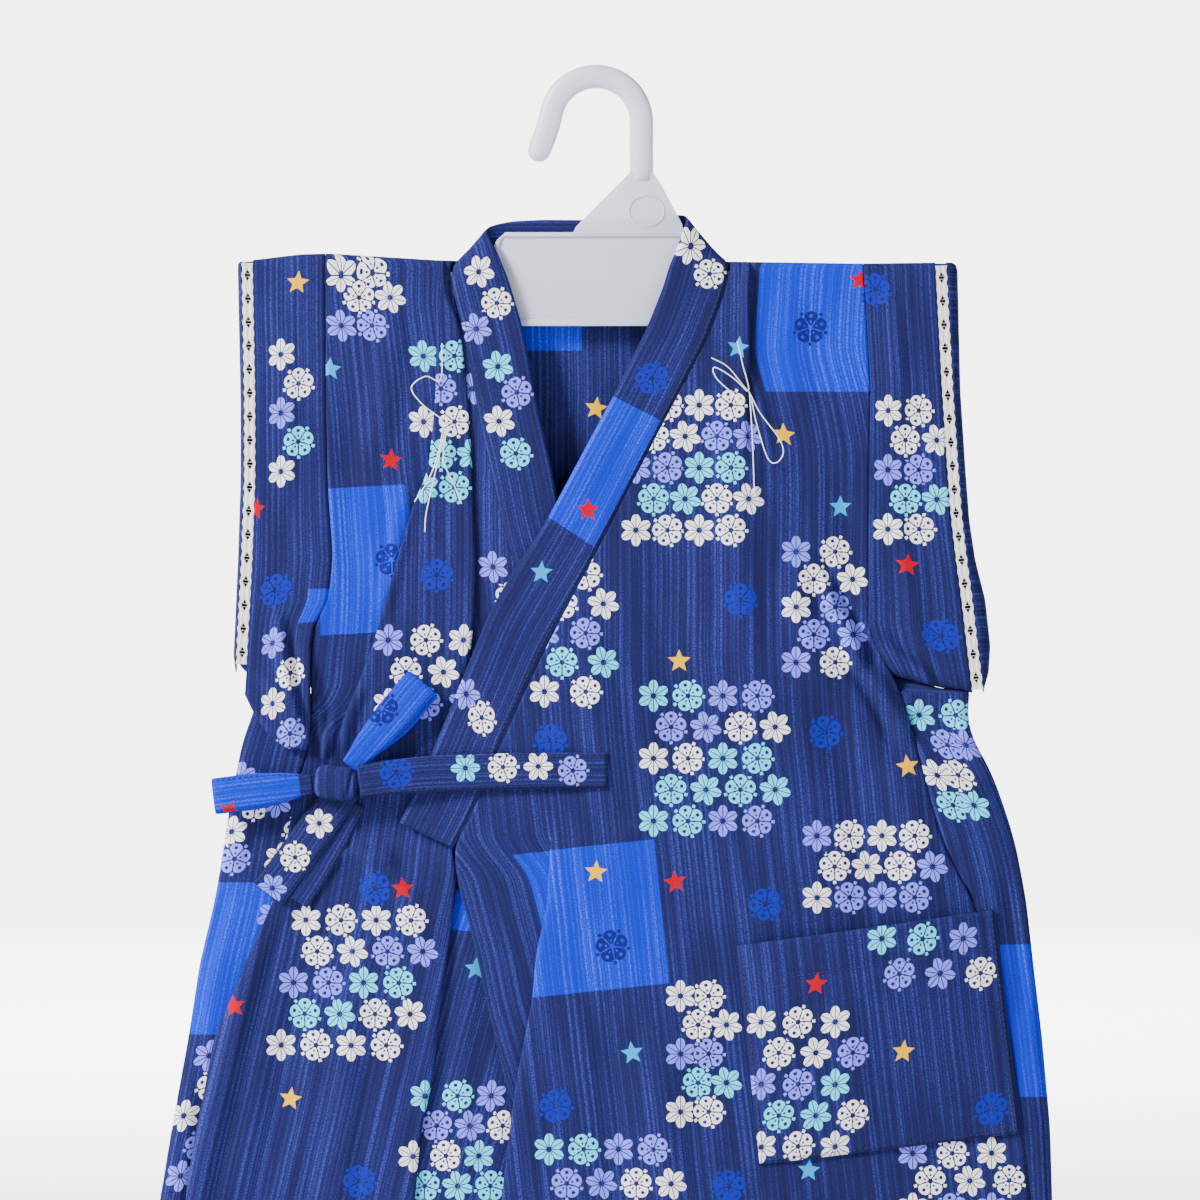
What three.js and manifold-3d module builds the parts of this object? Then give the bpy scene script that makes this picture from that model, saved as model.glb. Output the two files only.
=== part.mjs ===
// A child's cotton jinbei jacket hung on a one-piece plastic hanger, in millimetres.
// The origin is the inner top of the hook, +Z is up and the front faces -Y.
// Left and right are the wearer's, so the wearer's left is at +X.
import * as THREE from "three";
import { mergeVertices } from "three/addons/utils/BufferGeometryUtils.js";
import Module from "manifold-3d";

// Driving dimensions
const CLOTH = 1.0; // wall of one layer of cloth
const BAND = 2.0; // the collar is folded in four
const TIE = 1.4; // a tie is folded and edge-stitched
const SEAM = 0.3; // clearance at a seam
const SHOULDER_Z = -87; // ridge of the shoulders
const BAND_END_Z = -379.5; // square end of the collar on the over front
const HEM_Z = -606;
const FOLD_RADIUS = 0.8; // bend of a pressed fold
const LIFT = 4 * FOLD_RADIUS; // its top layer lies this far out from its lowest
const LACE_PITCH = 11.7;
const LACE_HOLE = { wide: 3, tall: 6.4 };
const PLATE = 2.6; // moulded plate of the hanger
const RIM = 4.2; // its thicker rims
const HOOK = { x: 0, z: -17, radius: 22.75, wide: 11.8, deep: 7, stemX: 22.75, stemZ: -44 };

/** Rows of numbers become rows of named columns. */
const table = (columns, rows) =>
  rows.map((row) => Object.fromEntries(columns.map((name, i) => [name, row[i]])));

/** A column's value at height z, straight between rows that run downwards. */
function at(rows, key, z) {
  const last = rows.length - 1;
  if (z >= rows[0].z) return rows[0][key];
  if (z <= rows[last].z) return rows[last][key];
  const i = rows.findIndex((row) => row.z <= z);
  const f = (rows[i - 1].z - z) / (rows[i - 1].z - rows[i].z);
  return THREE.MathUtils.lerp(rows[i - 1][key], rows[i][key], f);
}

const mix = THREE.MathUtils.lerp;
const point = (x, y, z) => new THREE.Vector3(x, y, z);

// Cloth walls

/** Mean direction through row[i] from its neighbours, each counted alike. */
function tangent(list, i, closed) {
  const n = list.length;
  const before = closed ? list[(i + n - 1) % n] : list[Math.max(i - 1, 0)];
  const after = closed ? list[(i + 1) % n] : list[Math.min(i + 1, n - 1)];
  const ahead = after.clone().sub(list[i]).normalize();
  return ahead.add(list[i].clone().sub(before).normalize()).normalize();
}

/** A closed wall of the given thickness on a grid of mid-surface points; closed rows make a tube. */
function wall(rows, thickness, closed = false) {
  const high = rows.length;
  const wide = rows[0].length;
  const columns = rows[0].map((_, c) => rows.map((row) => row[c]));
  const faces = [[], []];
  rows.forEach((row, r) =>
    row.forEach((p, c) => {
      const normal = tangent(row, c, closed).cross(tangent(columns[c], r, false)).normalize();
      [1, -1].forEach((sign, side) => {
        faces[side].push(p.clone().addScaledVector(normal, (sign * thickness) / 2));
      });
    }),
  );
  const points = faces.flat();
  const count = high * wide;
  const id = (side, r, c) => side * count + r * wide + (c % wide);
  const index = [];
  const quad = (a, b, c, d) => index.push(a, b, c, a, c, d);
  const across = closed ? wide : wide - 1;
  for (let r = 0; r < high - 1; r++) {
    for (let c = 0; c < across; c++) {
      quad(id(0, r, c), id(0, r + 1, c), id(0, r + 1, c + 1), id(0, r, c + 1));
      quad(id(1, r, c), id(1, r, c + 1), id(1, r + 1, c + 1), id(1, r + 1, c));
    }
    if (!closed) {
      quad(id(1, r, 0), id(1, r + 1, 0), id(0, r + 1, 0), id(0, r, 0));
      quad(id(0, r, across), id(0, r + 1, across), id(1, r + 1, across), id(1, r, across));
    }
  }
  for (let c = 0; c < across; c++) {
    quad(id(0, 0, c), id(0, 0, c + 1), id(1, 0, c + 1), id(1, 0, c));
    quad(id(1, high - 1, c), id(1, high - 1, c + 1), id(0, high - 1, c + 1), id(0, high - 1, c));
  }
  return facingOut(points, index);
}

/** An indexed geometry, turned the right way out by its volume. */
function facingOut(points, index) {
  let volume = 0;
  for (let i = 0; i < index.length; i += 3) {
    const [a, b, c] = [points[index[i]], points[index[i + 1]], points[index[i + 2]]];
    volume += a.dot(b.clone().cross(c));
  }
  const geometry = new THREE.BufferGeometry().setFromPoints(points);
  geometry.setIndex(volume > 0 ? index : index.slice().reverse());
  geometry.computeVertexNormals();
  return geometry;
}

/**
 * The six points of a pressed Z fold in a level section, left to right as seen from the front.
 * facing -1: the cloth on the right lies on top and its edge faces left; +1 is the mirror image.
 * open 0 irons it flat over the same stretch, from yIn to yOut.
 */
function pleat({ x, width, facing, open }, yIn, yOut) {
  const r = FOLD_RADIUS;
  const low = Math.max(yIn, yOut);
  const shape = [
    [width - r, 0],
    [width, r],
    [width - r, 2 * r],
    [r, 2 * r],
    [0, 3 * r],
    [r, 4 * r],
  ];
  const start = facing < 0 ? x : x - width;
  return shape.map((_, i) => {
    const [out, up] = facing < 0 ? shape[i] : shape[5 - i];
    const foldedX = facing < 0 ? x + out : x - out;
    const f = i / 5;
    return [mix(start + width * f, foldedX, open), mix(mix(yIn, yOut, f), low - up, open)];
  });
}

/** Adds steps points to a section, straight on to (x, y). */
function run(section, x, y, steps) {
  const [x0, y0] = section[section.length - 1];
  for (let i = 1; i <= steps; i++) {
    section.push([mix(x0, x, i / steps), mix(y0, y, i / steps)]);
  }
}

// Outline of the garment

// Top edge of the shoulders, from side to side
const SHOULDERS = [
  [-181, -87.4],
  [-148, -83.4],
  [-133, -83],
  [-69, -87],
  [63, -87],
  [132, -88],
  [200, -87.2],
];

/** Height of the shoulder ridge above x. */
function ridge(x) {
  const i = Math.max(1, SHOULDERS.findIndex(([at]) => at >= x));
  const [[x0, z0], [x1, z1]] = [SHOULDERS[i - 1], SHOULDERS[i]];
  return mix(z0, z1, (x - x0) / (x1 - x0));
}

// A panel's first rows roll over the shoulder: how far below the ridge, and share of its depth
const ROLL = table(["drop", "depth"], [
  [0, 0.08],
  [0.9, 0.65],
  [4, 1],
]);

// Level rows shared by the panels, so that their seams meet point to point
const LEVELS = [
  -95, -103, -125, -140.5, -168.5, -185, -201, -218, -235, -257, -268, -279.5, -292, -302.5, -306,
  -328, -348, -367, BAND_END_Z, -392, -420, -455, -499, -548, HEM_Z,
];

/** Rows of a panel whose level section at z is section(z), rolled over the shoulder at its top. */
function panelRows(section) {
  const rolled = ROLL.map(({ drop, depth }) =>
    section(SHOULDER_Z - drop).map(([x, y]) => point(x, y * depth, ridge(x) - drop)),
  );
  return [...rolled, ...LEVELS.map((z) => section(z).map(([x, y]) => point(x, y, z)))];
}

// Collar: s is the edge sewn to the body, f the folded free edge

const OVER_BAND = table(["sx", "z", "sy", "fx", "fz", "fy"], [
  [64, -87, 0, 46, -65, -0.4],
  [65.5, -87.4, -1.8, 43, -73, -4.2],
  [66, -89, -3.6, 39.5, -83, -6],
  [65.6, -95, -4, 36.5, -89, -6.2],
  [64, -103, -4.4, 34, -98.5, -6.2],
  [56, -125, -5.2, 25.5, -120, -6.4],
  [48, -140.5, -5.8, 20, -131, -6.6],
  [33, -168.5, -6.9, 8, -155.5, -7.4],
  [24.5, -185, -7.6, -0.5, -171, -8],
  [16, -201, -8.2, -9, -187, -8.5],
  [7.5, -218, -8.6, -17.5, -203, -8.7],
  [-1.5, -235, -8.8, -26, -218.5, -8.9],
  [-13, -257, -8.8, -40.5, -240, -9],
  [-19, -268, -8.8, -46.5, -251, -9],
  [-25, -279.5, -8.8, -53, -262, -9],
  [-31, -292, -8.8, -58, -273, -9],
  [-36.7, -304, -8.8, -62.5, -285, -9],
  [-39.5, -310, -8.8, -65, -291, -9],
  [-47.5, -328, -8.8, -72, -308.5, -9],
  [-56, -348, -8.8, -83, -334.5, -9],
  [-64, -367, -8.8, -92, -354.5, -9],
  [-71.5, BAND_END_Z, -8.8, -98, -367, -9],
]);

const UNDER_BAND = table(["sx", "z", "sy", "fx", "fz", "fy"], [
  [-69, -87, 0, -55.5, -71, 0.4],
  [-71, -88.4, -1.9, -53, -75, -2.8],
  [-72, -95, -4.1, -49, -83, -4.7],
  [-71.2, -103, -4.6, -43.6, -96.5, -5],
  [-65.5, -125, -4.9, -37.5, -117, -5.2],
  [-62.7, -140.5, -5, -34, -133, -5.2],
  [-57.5, -168.5, -5, -28, -163, -5.2],
  [-53.5, -185, -5, -24, -180.5, -5.2],
  [-50, -201, -5, -21, -196, -5.2],
  [-46.4, -218, -5, -18, -212, -5.2],
  [-41.5, -235, -5, -14.5, -226, -5.2],
  [-33, -257, -5, -7, -246, -5.2],
  [-28, -268, -5, -2, -256.5, -5.2],
  [-22, -279.5, -5, 3.5, -266, -5.2],
  [-16, -292, -5, 9, -278, -5.2],
  [-9.6, -304, -5, 14.5, -288.5, -5.2],
  [-6, -310, -5, 18, -294, -5.2],
  [4.5, -328, -5, 27, -310.5, -5.2],
  [17.5, -348, -5, 40, -330.5, -5.2],
  [32, -367, -5, 53, -347.5, -5.2],
  [42, BAND_END_Z, -5, 62, -359, -5.2],
]);

// Behind the neck the band stands up, from the over side round to the under side
const BACK_BAND = table(["sx", "z", "sy", "fx", "fz", "fy"], [
  [61, -88.4, 2.6, 44.4, -63, 3],
  [54, -90.5, 4.2, 36, -63.6, 5.2],
  [38, -93, 4.8, 20, -64.8, 6.1],
  [15, -94, 5.1, 5, -65.5, 6.4],
  [-10, -94.2, 5.1, -10, -65.6, 6.4],
  [-35, -93.4, 4.8, -27, -65.5, 6.1],
  [-54, -91, 4.2, -43, -66.3, 5.2],
  [-64.5, -88.6, 2.4, -52.4, -68.6, 3],
]);

const COLLAR_ACROSS = 3;

/** The mid-surface rows of a stretch of collar, from its sewn edge to its free edge. */
const bandRows = (stations) =>
  stations.map((b) => {
    const sewn = point(b.sx, b.sy, b.z);
    const free = point(b.fx, b.fy, b.fz);
    return Array.from({ length: COLLAR_ACROSS + 1 }, (_, i) =>
      sewn.clone().lerp(free, i / COLLAR_ACROSS),
    );
  });

const collarRows = bandRows([
  ...OVER_BAND.slice().reverse(),
  ...BACK_BAND,
  ...UNDER_BAND,
]);

// Body panels

// Side edge of each front: the armhole seam, then the side seam
const OVER_SIDE = table(["z", "x"], [
  [-87, 133.5],
  [-151, 137],
  [-206, 136],
  [-268, 136],
  [-279.5, 140],
  [-292, 147.5],
  [-304, 153],
  [-318, 157],
  [-336, 162],
  [-367, 170],
  [-379.5, 174],
  [-406, 188],
  [-437, 200],
  [-475, 207],
  [-520, 213.5],
  [HEM_Z, 222],
]);
const UNDER_SIDE = table(["z", "x"], [
  [-83, -135.3],
  [-154, -135],
  [-201, -134],
  [-235, -131.5],
  [-257, -134],
  [-268, -140.5],
  [-279.5, -142.3],
  [-328, -142.5],
  [-348, -149],
  [-367, -153],
  [-392, -157],
  [-406, -161],
  [-437, -175],
  [-455, -182],
  [-475, -191],
  [-499, -195],
  [-520, -199.5],
  [-548, -204],
  [HEM_Z, -209],
]);

// Outline of the body below the arms
const OUTLINE = table(["z", "left", "right"], [
  [-304, -170.5, 187.5],
  [-310, -171.5, 187],
  [-318, -174.5, 187],
  [-328, -178, 190.5],
  [-336, -179.5, 195.5],
  [-348, -182, 201],
  [-367, -185.5, 207.5],
  [-379.5, -187, 211],
  [-406, -191.5, 216],
  [-437, -199, 219.5],
  [-475, -204.8, 224],
  [-520, -213, 228],
  [-556, -219, 229],
  [HEM_Z, -226, 231],
]);

// How far out the inner cloth of the front lies, and the back cloth
const DEPTH = table(["z", "front", "back"], [
  [-87, -3.5, 3.4],
  [-300, -3.5, 3.6],
  [-400, -5, 5.4],
  [HEM_Z, -7, 8.5],
]);

// Folds of the under front: the shoulder tuck that opens towards the bow
const SIDE_TUCK = table(["z", "x", "width", "open"], [
  [-87, -80, 5, 1],
  [-121, -79.5, 6, 1],
  [-154, -80, 8, 1],
  [-191, -83.5, 9, 1],
  [-209, -91.5, 10, 1],
  [-240, -100.5, 11, 1],
  [-273, -109.5, 11, 1],
  [-299, -119, 10, 1],
  [-310, -125, 9, 0.9],
  [-320, -131, 7, 0.3],
  [-328, -133, 7, 0],
  [HEM_Z, -150, 14, 0],
]);
// then the pleat beside the collar, and below the bow the fold that hangs to the hem
const INNER_PLEAT = table(["z", "x", "width", "open"], [
  [-87, -73, 2.5, 0],
  [-103, -72.2, 2.5, 0.2],
  [-118, -68, 4, 1],
  [-154, -63.8, 5, 1],
  [-199, -61.2, 6, 1],
  [-235, -60, 6, 1],
  [-268, -60, 6, 0.8],
  [-300, -61, 6, 0],
  [-367, -67, 8, 0],
  [-392, -69, 10, 1],
  [-420, -72, 12, 1],
  [-455, -76.5, 13, 1],
  [-499, -82, 14, 1],
  [-520, -87, 15, 1],
  [HEM_Z, -95, 17, 1],
]);

// At the neck the panels stop short of the collar, whose folded edge leans over them
const NECK_EASE = table(["z", "under", "over"], [
  [-87, 1.4, 1.2],
  [-95, 1.4, 0.3],
  [-103, 0.9, 0],
  [-125, 0, 0],
]);

/** Level section of the under front, from its side edge to the collar or its free edge. */
function underSection(z) {
  const front = at(DEPTH, "front", z);
  const low = front + at(LOW_LAYER, "in", z);
  const top = low - LIFT;
  const side = row(SIDE_TUCK, z, -1);
  const inner = row(INNER_PLEAT, z, 1);
  const edge = z > BAND_END_Z ? at(UNDER_BAND, "sx", z) - SEAM - at(NECK_EASE, "under", z) : at(UNDER_EDGE, "x", z);
  const edgeY = z > BAND_END_Z ? at(UNDER_BAND, "sy", z) : front;
  const section = [[at(UNDER_SIDE, "x", z) + SEAM, front]];
  run(section, side.x - 1.5, mix(front, low, side.open), 3);
  const between = mix(front, top, Math.max(side.open, inner.open));
  section.push(...pleat(side, mix(front, low, side.open), mix(front, top, side.open)));
  const lift = mix(front, top, inner.open);
  run(section, inner.x - inner.width - 1, inner.open > 0 ? Math.min(between, lift) : front, 2);
  section.push(...pleat(inner, lift, mix(front, low, inner.open)));
  run(section, edge, edgeY, 3);
  return section;
}

/** A fold's row at height z, with the side that its edge faces. */
const row = (rows, z, facing) => ({
  x: at(rows, "x", z),
  width: at(rows, "width", z),
  open: at(rows, "open", z),
  facing,
});

// The lowest layer of a pleat sinks below the panel, less so above the hanger's arms
const LOW_LAYER = table(["z", "in"], [
  [-130, 0.2],
  [-218, 1.5],
  [HEM_Z, 1.8],
]);

// Free edges below the collar's ends
const UNDER_EDGE = table(["z", "x"], [
  [BAND_END_Z, 42],
  [HEM_Z, 46],
]);
const OVER_EDGE = table(["z", "x"], [
  [BAND_END_Z, -71],
  [-397, -69],
  [-420, -62.5],
  [-455, -54.5],
  [-467, -52],
  [-499, -44.5],
  [-556, -37],
  [HEM_Z, -32],
]);

// Folds of the over front: its main part laid over the edge, and the shoulder tuck
const EDGE_FOLD = table(["z", "x", "width", "open"], [
  [-367, -26, 8, 0],
  [-379.5, -25, 6, 0.4],
  [-392, -24.2, 6, 1],
  [-406, -24, 7, 1],
  [-432, -30, 9, 1],
  [-455, -32, 10, 1],
  [-499, -40.5, 14, 1],
  [-548, -46.5, 20, 1],
  [HEM_Z, -50, 24, 1],
]);
const SHOULDER_TUCK = table(["z", "x", "width", "open"], [
  [-87, 77, 4, 1],
  [-106, 76.5, 5, 1],
  [-131, 77, 6, 1],
  [-154, 78, 7, 0.6],
  [-201, 81, 8, 0],
  [HEM_Z, 100, 10, 0],
]);

// Soft folds of the over front that run down and out from under the arm: from, to, half width, height
const UNDERARM_FOLDS = table(["x0", "z0", "x1", "z1", "half", "out"], [
  [120, -274, 152, -300, 7, 2.2],
  [136, -292, 168, -330, 8, 1.8],
  [113, -226, 132, -281, 8, 1.5],
]);

/** How far the soft folds push the over front out at (x, z). */
function softFolds(x, z) {
  return UNDERARM_FOLDS.reduce((sum, fold) => {
    const from = new THREE.Vector2(fold.x0, fold.z0);
    const along = new THREE.Vector2(fold.x1, fold.z1).sub(from);
    const here = new THREE.Vector2(x, z).sub(from);
    const t = THREE.MathUtils.clamp(here.dot(along) / along.lengthSq(), 0, 1);
    const away = here.addScaledVector(along, -t).length() / fold.half;
    return sum + (away < 1 ? fold.out * (1 - away * away) ** 2 : 0);
  }, 0);
}

const UNDER_BAND_REACH = 66; // the over front stays clear of the under band as far as this

/** Depth of the over front where it lies on the under front, and at its side. */
const overDepth = (z) => Math.min(at(OVER_BAND, "sy", z), at(DEPTH, "front", z) - 4.2);

/** Level section of the over front, from the collar or its free edge to its side seam. */
function overSection(z) {
  const front = at(DEPTH, "front", z);
  const onBand = z > BAND_END_Z;
  const edge = onBand ? at(OVER_BAND, "sx", z) + SEAM + at(NECK_EASE, "over", z) : at(OVER_EDGE, "x", z);
  const edgeY = onBand ? at(OVER_BAND, "sy", z) : overDepth(z);
  const fold = row(EDGE_FOLD, z, -1);
  const tuck = row(SHOULDER_TUCK, z, 1);
  const side = at(OVER_SIDE, "x", z) - SEAM;
  if (z > EDGE_FOLD[0].z) {
    const room = tuck.x - tuck.width - edge;
    fold.width = Math.min(8, room * 0.4);
    fold.x = edge + room * 0.3;
  }
  const section = [[edge, edgeY]];
  const rightOfFold = mix(edgeY, edgeY - LIFT, fold.open);
  run(section, mix(edge, fold.x, 0.8), edgeY, 2);
  section.push(...pleat(fold, edgeY, rightOfFold));
  const from = Math.max(fold.x, UNDER_BAND_REACH);
  const easedAt = (x) => mix(rightOfFold, front, THREE.MathUtils.smoothstep(x, from, side));
  const tuckStart = tuck.x - tuck.width;
  run(section, mix(section[section.length - 1][0], tuckStart, 0.9), easedAt(tuckStart), 2);
  const beforeTuck = section[section.length - 1][1];
  const raised = Math.min(beforeTuck, front - LIFT);
  section.push(...pleat(tuck, mix(beforeTuck, raised, tuck.open), mix(easedAt(tuck.x), raised + LIFT, tuck.open)));
  const [x0, y0] = section[section.length - 1];
  const steps = 8;
  for (let i = 1; i <= steps; i++) {
    const x = mix(x0, side, i / steps);
    const fade = Math.min(1, (side - x) / 10);
    section.push([x, mix(y0, front, i / steps) - softFolds(x, z) * fade]);
  }
  return section;
}

// Below the arms a side piece at each side wraps from the back round to the front's side seam
const UNDERARM = { high: -302.5, low: -306 };
const WRAP_RADIUS = 5;
const LAP = 3.3;
const LAP_DEPTH = 1.7;
const BACK_COLUMNS = 14;
const BACK_BULGE = { out: 2.8, none: 120, full: 82 }; // its middle hangs further out than its sides
const SIDES = {
  left: { away: 1, seam: OVER_SIDE, outline: "right", lap: 0, lapDepth: 0 },
  // the under front laps over the edge of this one
  right: { away: -1, seam: UNDER_SIDE, outline: "left", lap: LAP, lapDepth: LAP_DEPTH },
};

/** Where the back's edge lies at z: at the armhole above, near the outline below the arms. */
function backEdge({ away, seam, outline }, z) {
  const spread = 1 - THREE.MathUtils.smoothstep(z, UNDERARM.low, UNDERARM.high);
  const wrapped = at(OUTLINE, outline, z) - away * (WRAP_RADIUS + SEAM);
  return mix(at(seam, "x", z) - away * (SEAM + 2), wrapped, spread);
}

/** Level section of the back, from the wearer's right to the left. */
function backSection(z) {
  const back = at(DEPTH, "back", z);
  const [x0, x1] = [backEdge(SIDES.right, z), backEdge(SIDES.left, z)];
  return Array.from({ length: BACK_COLUMNS + 1 }, (_, i) => {
    const x = mix(x0, x1, i / BACK_COLUMNS);
    const bulge = BACK_BULGE.out * THREE.MathUtils.smoothstep(-Math.abs(x), -BACK_BULGE.none, -BACK_BULGE.full);
    return [x, back + bulge];
  });
}

/** Rows of a side piece, from the front's side seam round the side to the back. */
function sideRows({ away, seam, outline, lap, lapDepth }) {
  return LEVELS.filter((z) => z <= UNDERARM.low).map((z) => {
    const out = at(OUTLINE, outline, z);
    const back = at(DEPTH, "back", z);
    const tucked = lap * THREE.MathUtils.smoothstep(-z, 348, 367) - SEAM;
    const edgeY = at(DEPTH, "front", z) + lapDepth;
    const middle = (edgeY + back) / 2;
    const sewn = at(seam, "x", z);
    return [
      [sewn - away * tucked, edgeY],
      [mix(sewn, out, 0.55), edgeY],
      [out - away * WRAP_RADIUS, edgeY],
      [out - away * 1.2, mix(middle, edgeY, 0.6)],
      [out - away * 1.2, mix(middle, back, 0.6)],
      [out - away * WRAP_RADIUS, back],
    ].map(([x, y]) => point(x, y, z));
  });
}

/** Rows of the back: its top edge is the two shoulders and, between them, the neck seam. */
function backRows() {
  const rows = panelRows(backSection);
  const neck = [
    [-9, 5.1],
    [-10.5, 5.2],
    [-12.5, 5.3],
    [-15.5, 5.4],
  ];
  neck.forEach(([drop, y], r) => {
    rows[r].forEach((p) => {
      const inNeck = Math.min(p.x + 70, 64 - p.x);
      if (inNeck > 0) {
        const f = THREE.MathUtils.smoothstep(inNeck, 0, 9);
        p.z = Math.min(p.z, mix(p.z, SHOULDER_Z + drop, f));
        p.y = mix(p.y, y, f);
      }
    });
  });
  return rows;
}

// Sleeves: a strip at the armhole, a ladder of lace, and the outer sleeve turned to the back

const SLEEVES = {
  left: {
    away: 1,
    seam: OVER_SIDE,
    lines: table(["z", "laceIn", "laceOut", "contour", "cuff"], [
      [-87, 169.6, 174.8, 181, 140],
      [-151, 173, 178.2, 182.5, 141],
      [-190, 175.6, 180.8, 185, 142],
      [-216, 177.6, 182.8, 187, 142],
      [-236, 180, 185.2, 190, 143],
      [-256, 182.7, 187.9, 195, 143],
      [-279, 185.4, 190.6, 197.5, 144],
      [-303, 188.3, 193.5, 196, 145],
    ]),
    bottom: { seam: -293, middle: -298, laceIn: -301, laceOut: -301, contour: -299 },
  },
  right: {
    away: -1,
    seam: UNDER_SIDE,
    lines: table(["z", "laceIn", "laceOut", "contour", "cuff"], [
      [-87, -171.6, -176.8, -179.5, -130],
      [-156, -170.4, -175.4, -178, -130],
      [-196, -170.4, -175.4, -178, -130],
      [-236, -171.8, -177, -179.3, -131],
      [-303, -175.2, -180.4, -182.4, -134],
    ]),
    bottom: { seam: -331, middle: -326.5, laceIn: -303, laceOut: -298, contour: -296 },
  },
};
const SLEEVE_STEPS = 9; // points down each layer of the turned sleeve
const STRIP = { front: -3.5, back: 3.4 }; // depth of the strip's two layers
const TURNED = { inner: 6.4, outer: 13 }; // depth of the turned-back sleeve's two layers

const RING_ROLL = 3.8; // height of the bend at the top and bottom of a ring

// Below the arm the strip of the under side hangs flat in front of the body
const FLAP = table(["z", "front", "back"], [
  [-262, 0, 0],
  [-285, -1.6, -5],
  [-300, -4, -9.4],
  [-335, -5, -10.4],
]);

/**
 * One ring round a sleeve. front and back give [x, y] of the two layers at height z,
 * lowest is the ring's bottom, and down the shares of the way to it at which points lie.
 */
function sleeveRing(front, back, lowest, down) {
  const highest = ridge(front(SHOULDER_Z)[0]);
  const heightAt = (t) => mix(highest - RING_ROLL, lowest + RING_ROLL, t);
  const middle = (z, share) => {
    const [a, b] = [front(z), back(z)];
    return [mix(a[0], b[0], share), mix(a[1], b[1], share)];
  };
  const level = ([x, y], z) => point(x, y, z);
  return [
    level(middle(highest, 0.5), highest),
    level(middle(highest, 0.17), highest - 0.9),
    ...down.map((t) => level(front(heightAt(t)), heightAt(t))),
    level(middle(lowest, 0.2), lowest + 0.9),
    level(middle(lowest, 0.5), lowest),
    level(middle(lowest, 0.8), lowest + 0.9),
    ...down.toReversed().map((t) => level(back(heightAt(t)), heightAt(t))),
    level(middle(highest, 0.83), highest - 0.9),
  ];
}

/** The strip between the armhole and the lace. */
function stripRings({ away, seam, lines, bottom }) {
  const flap = (z) => (away < 0 ? { f: at(FLAP, "front", z), b: at(FLAP, "back", z) } : { f: 0, b: 0 });
  const inner = (z) => at(seam, "x", z) + away * SEAM;
  const high = ridge(inner(SHOULDER_Z)) - RING_ROLL;
  const low = bottom.seam + RING_ROLL;
  const levels = [high, ...LEVELS.filter((z) => z > low + RING_ROLL), low];
  const down = levels.map((z) => (high - z) / (high - low));
  const ring = (lineAt, lowest) =>
    sleeveRing(
      (z) => [lineAt(z), STRIP.front + flap(z).f],
      (z) => [lineAt(z), STRIP.back + flap(z).b],
      lowest,
      down,
    );
  const outer = (z) => at(lines, "laceIn", z) - away * SEAM;
  const between = (share) => (z) => mix(inner(z), outer(z), share);
  const { seam: a, middle: b, laceIn: c } = bottom;
  return [
    ring(inner, a),
    ring(between(0.33), mix(a, b, 0.75)),
    ring(between(0.66), mix(b, c, 0.4)),
    ring(outer, c),
  ];
}

/** The outer sleeve: out from the lace, round the contour and back to the cuff. */
function turnedRings({ away, lines, bottom }) {
  const line = (key, shift) => (z) => at(lines, key, z) + away * shift;
  const middle = (TURNED.outer + STRIP.front) / 2;
  const turn = (STRIP.back + TURNED.inner) / 2;
  const down = Array.from({ length: SLEEVE_STEPS + 1 }, (_, i) => i / SLEEVE_STEPS);
  const stations = [
    { f: [line("laceOut", SEAM), STRIP.front], b: [line("laceOut", SEAM), STRIP.back] },
    { f: [line("contour", -1), STRIP.front + 1.5], b: [line("laceOut", 1), turn - 1] },
    { f: [line("contour", 0), middle], b: [line("laceOut", 1.4), turn] },
    { f: [line("contour", -1), TURNED.outer - 1.5], b: [line("laceOut", 1), turn + 1] },
    { f: [line("contour", -7), TURNED.outer], b: [line("contour", -7), TURNED.inner] },
    { f: [line("contour", -24), TURNED.outer], b: [line("contour", -24), TURNED.inner] },
    { f: [line("cuff", 0), TURNED.outer], b: [line("cuff", 0), TURNED.inner] },
  ];
  return stations.map(({ f, b }) =>
    sleeveRing(
      (z) => [f[0](z), f[1]],
      (z) => [b[0](z), b[1]],
      bottom.contour,
      down,
    ),
  );
}

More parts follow.
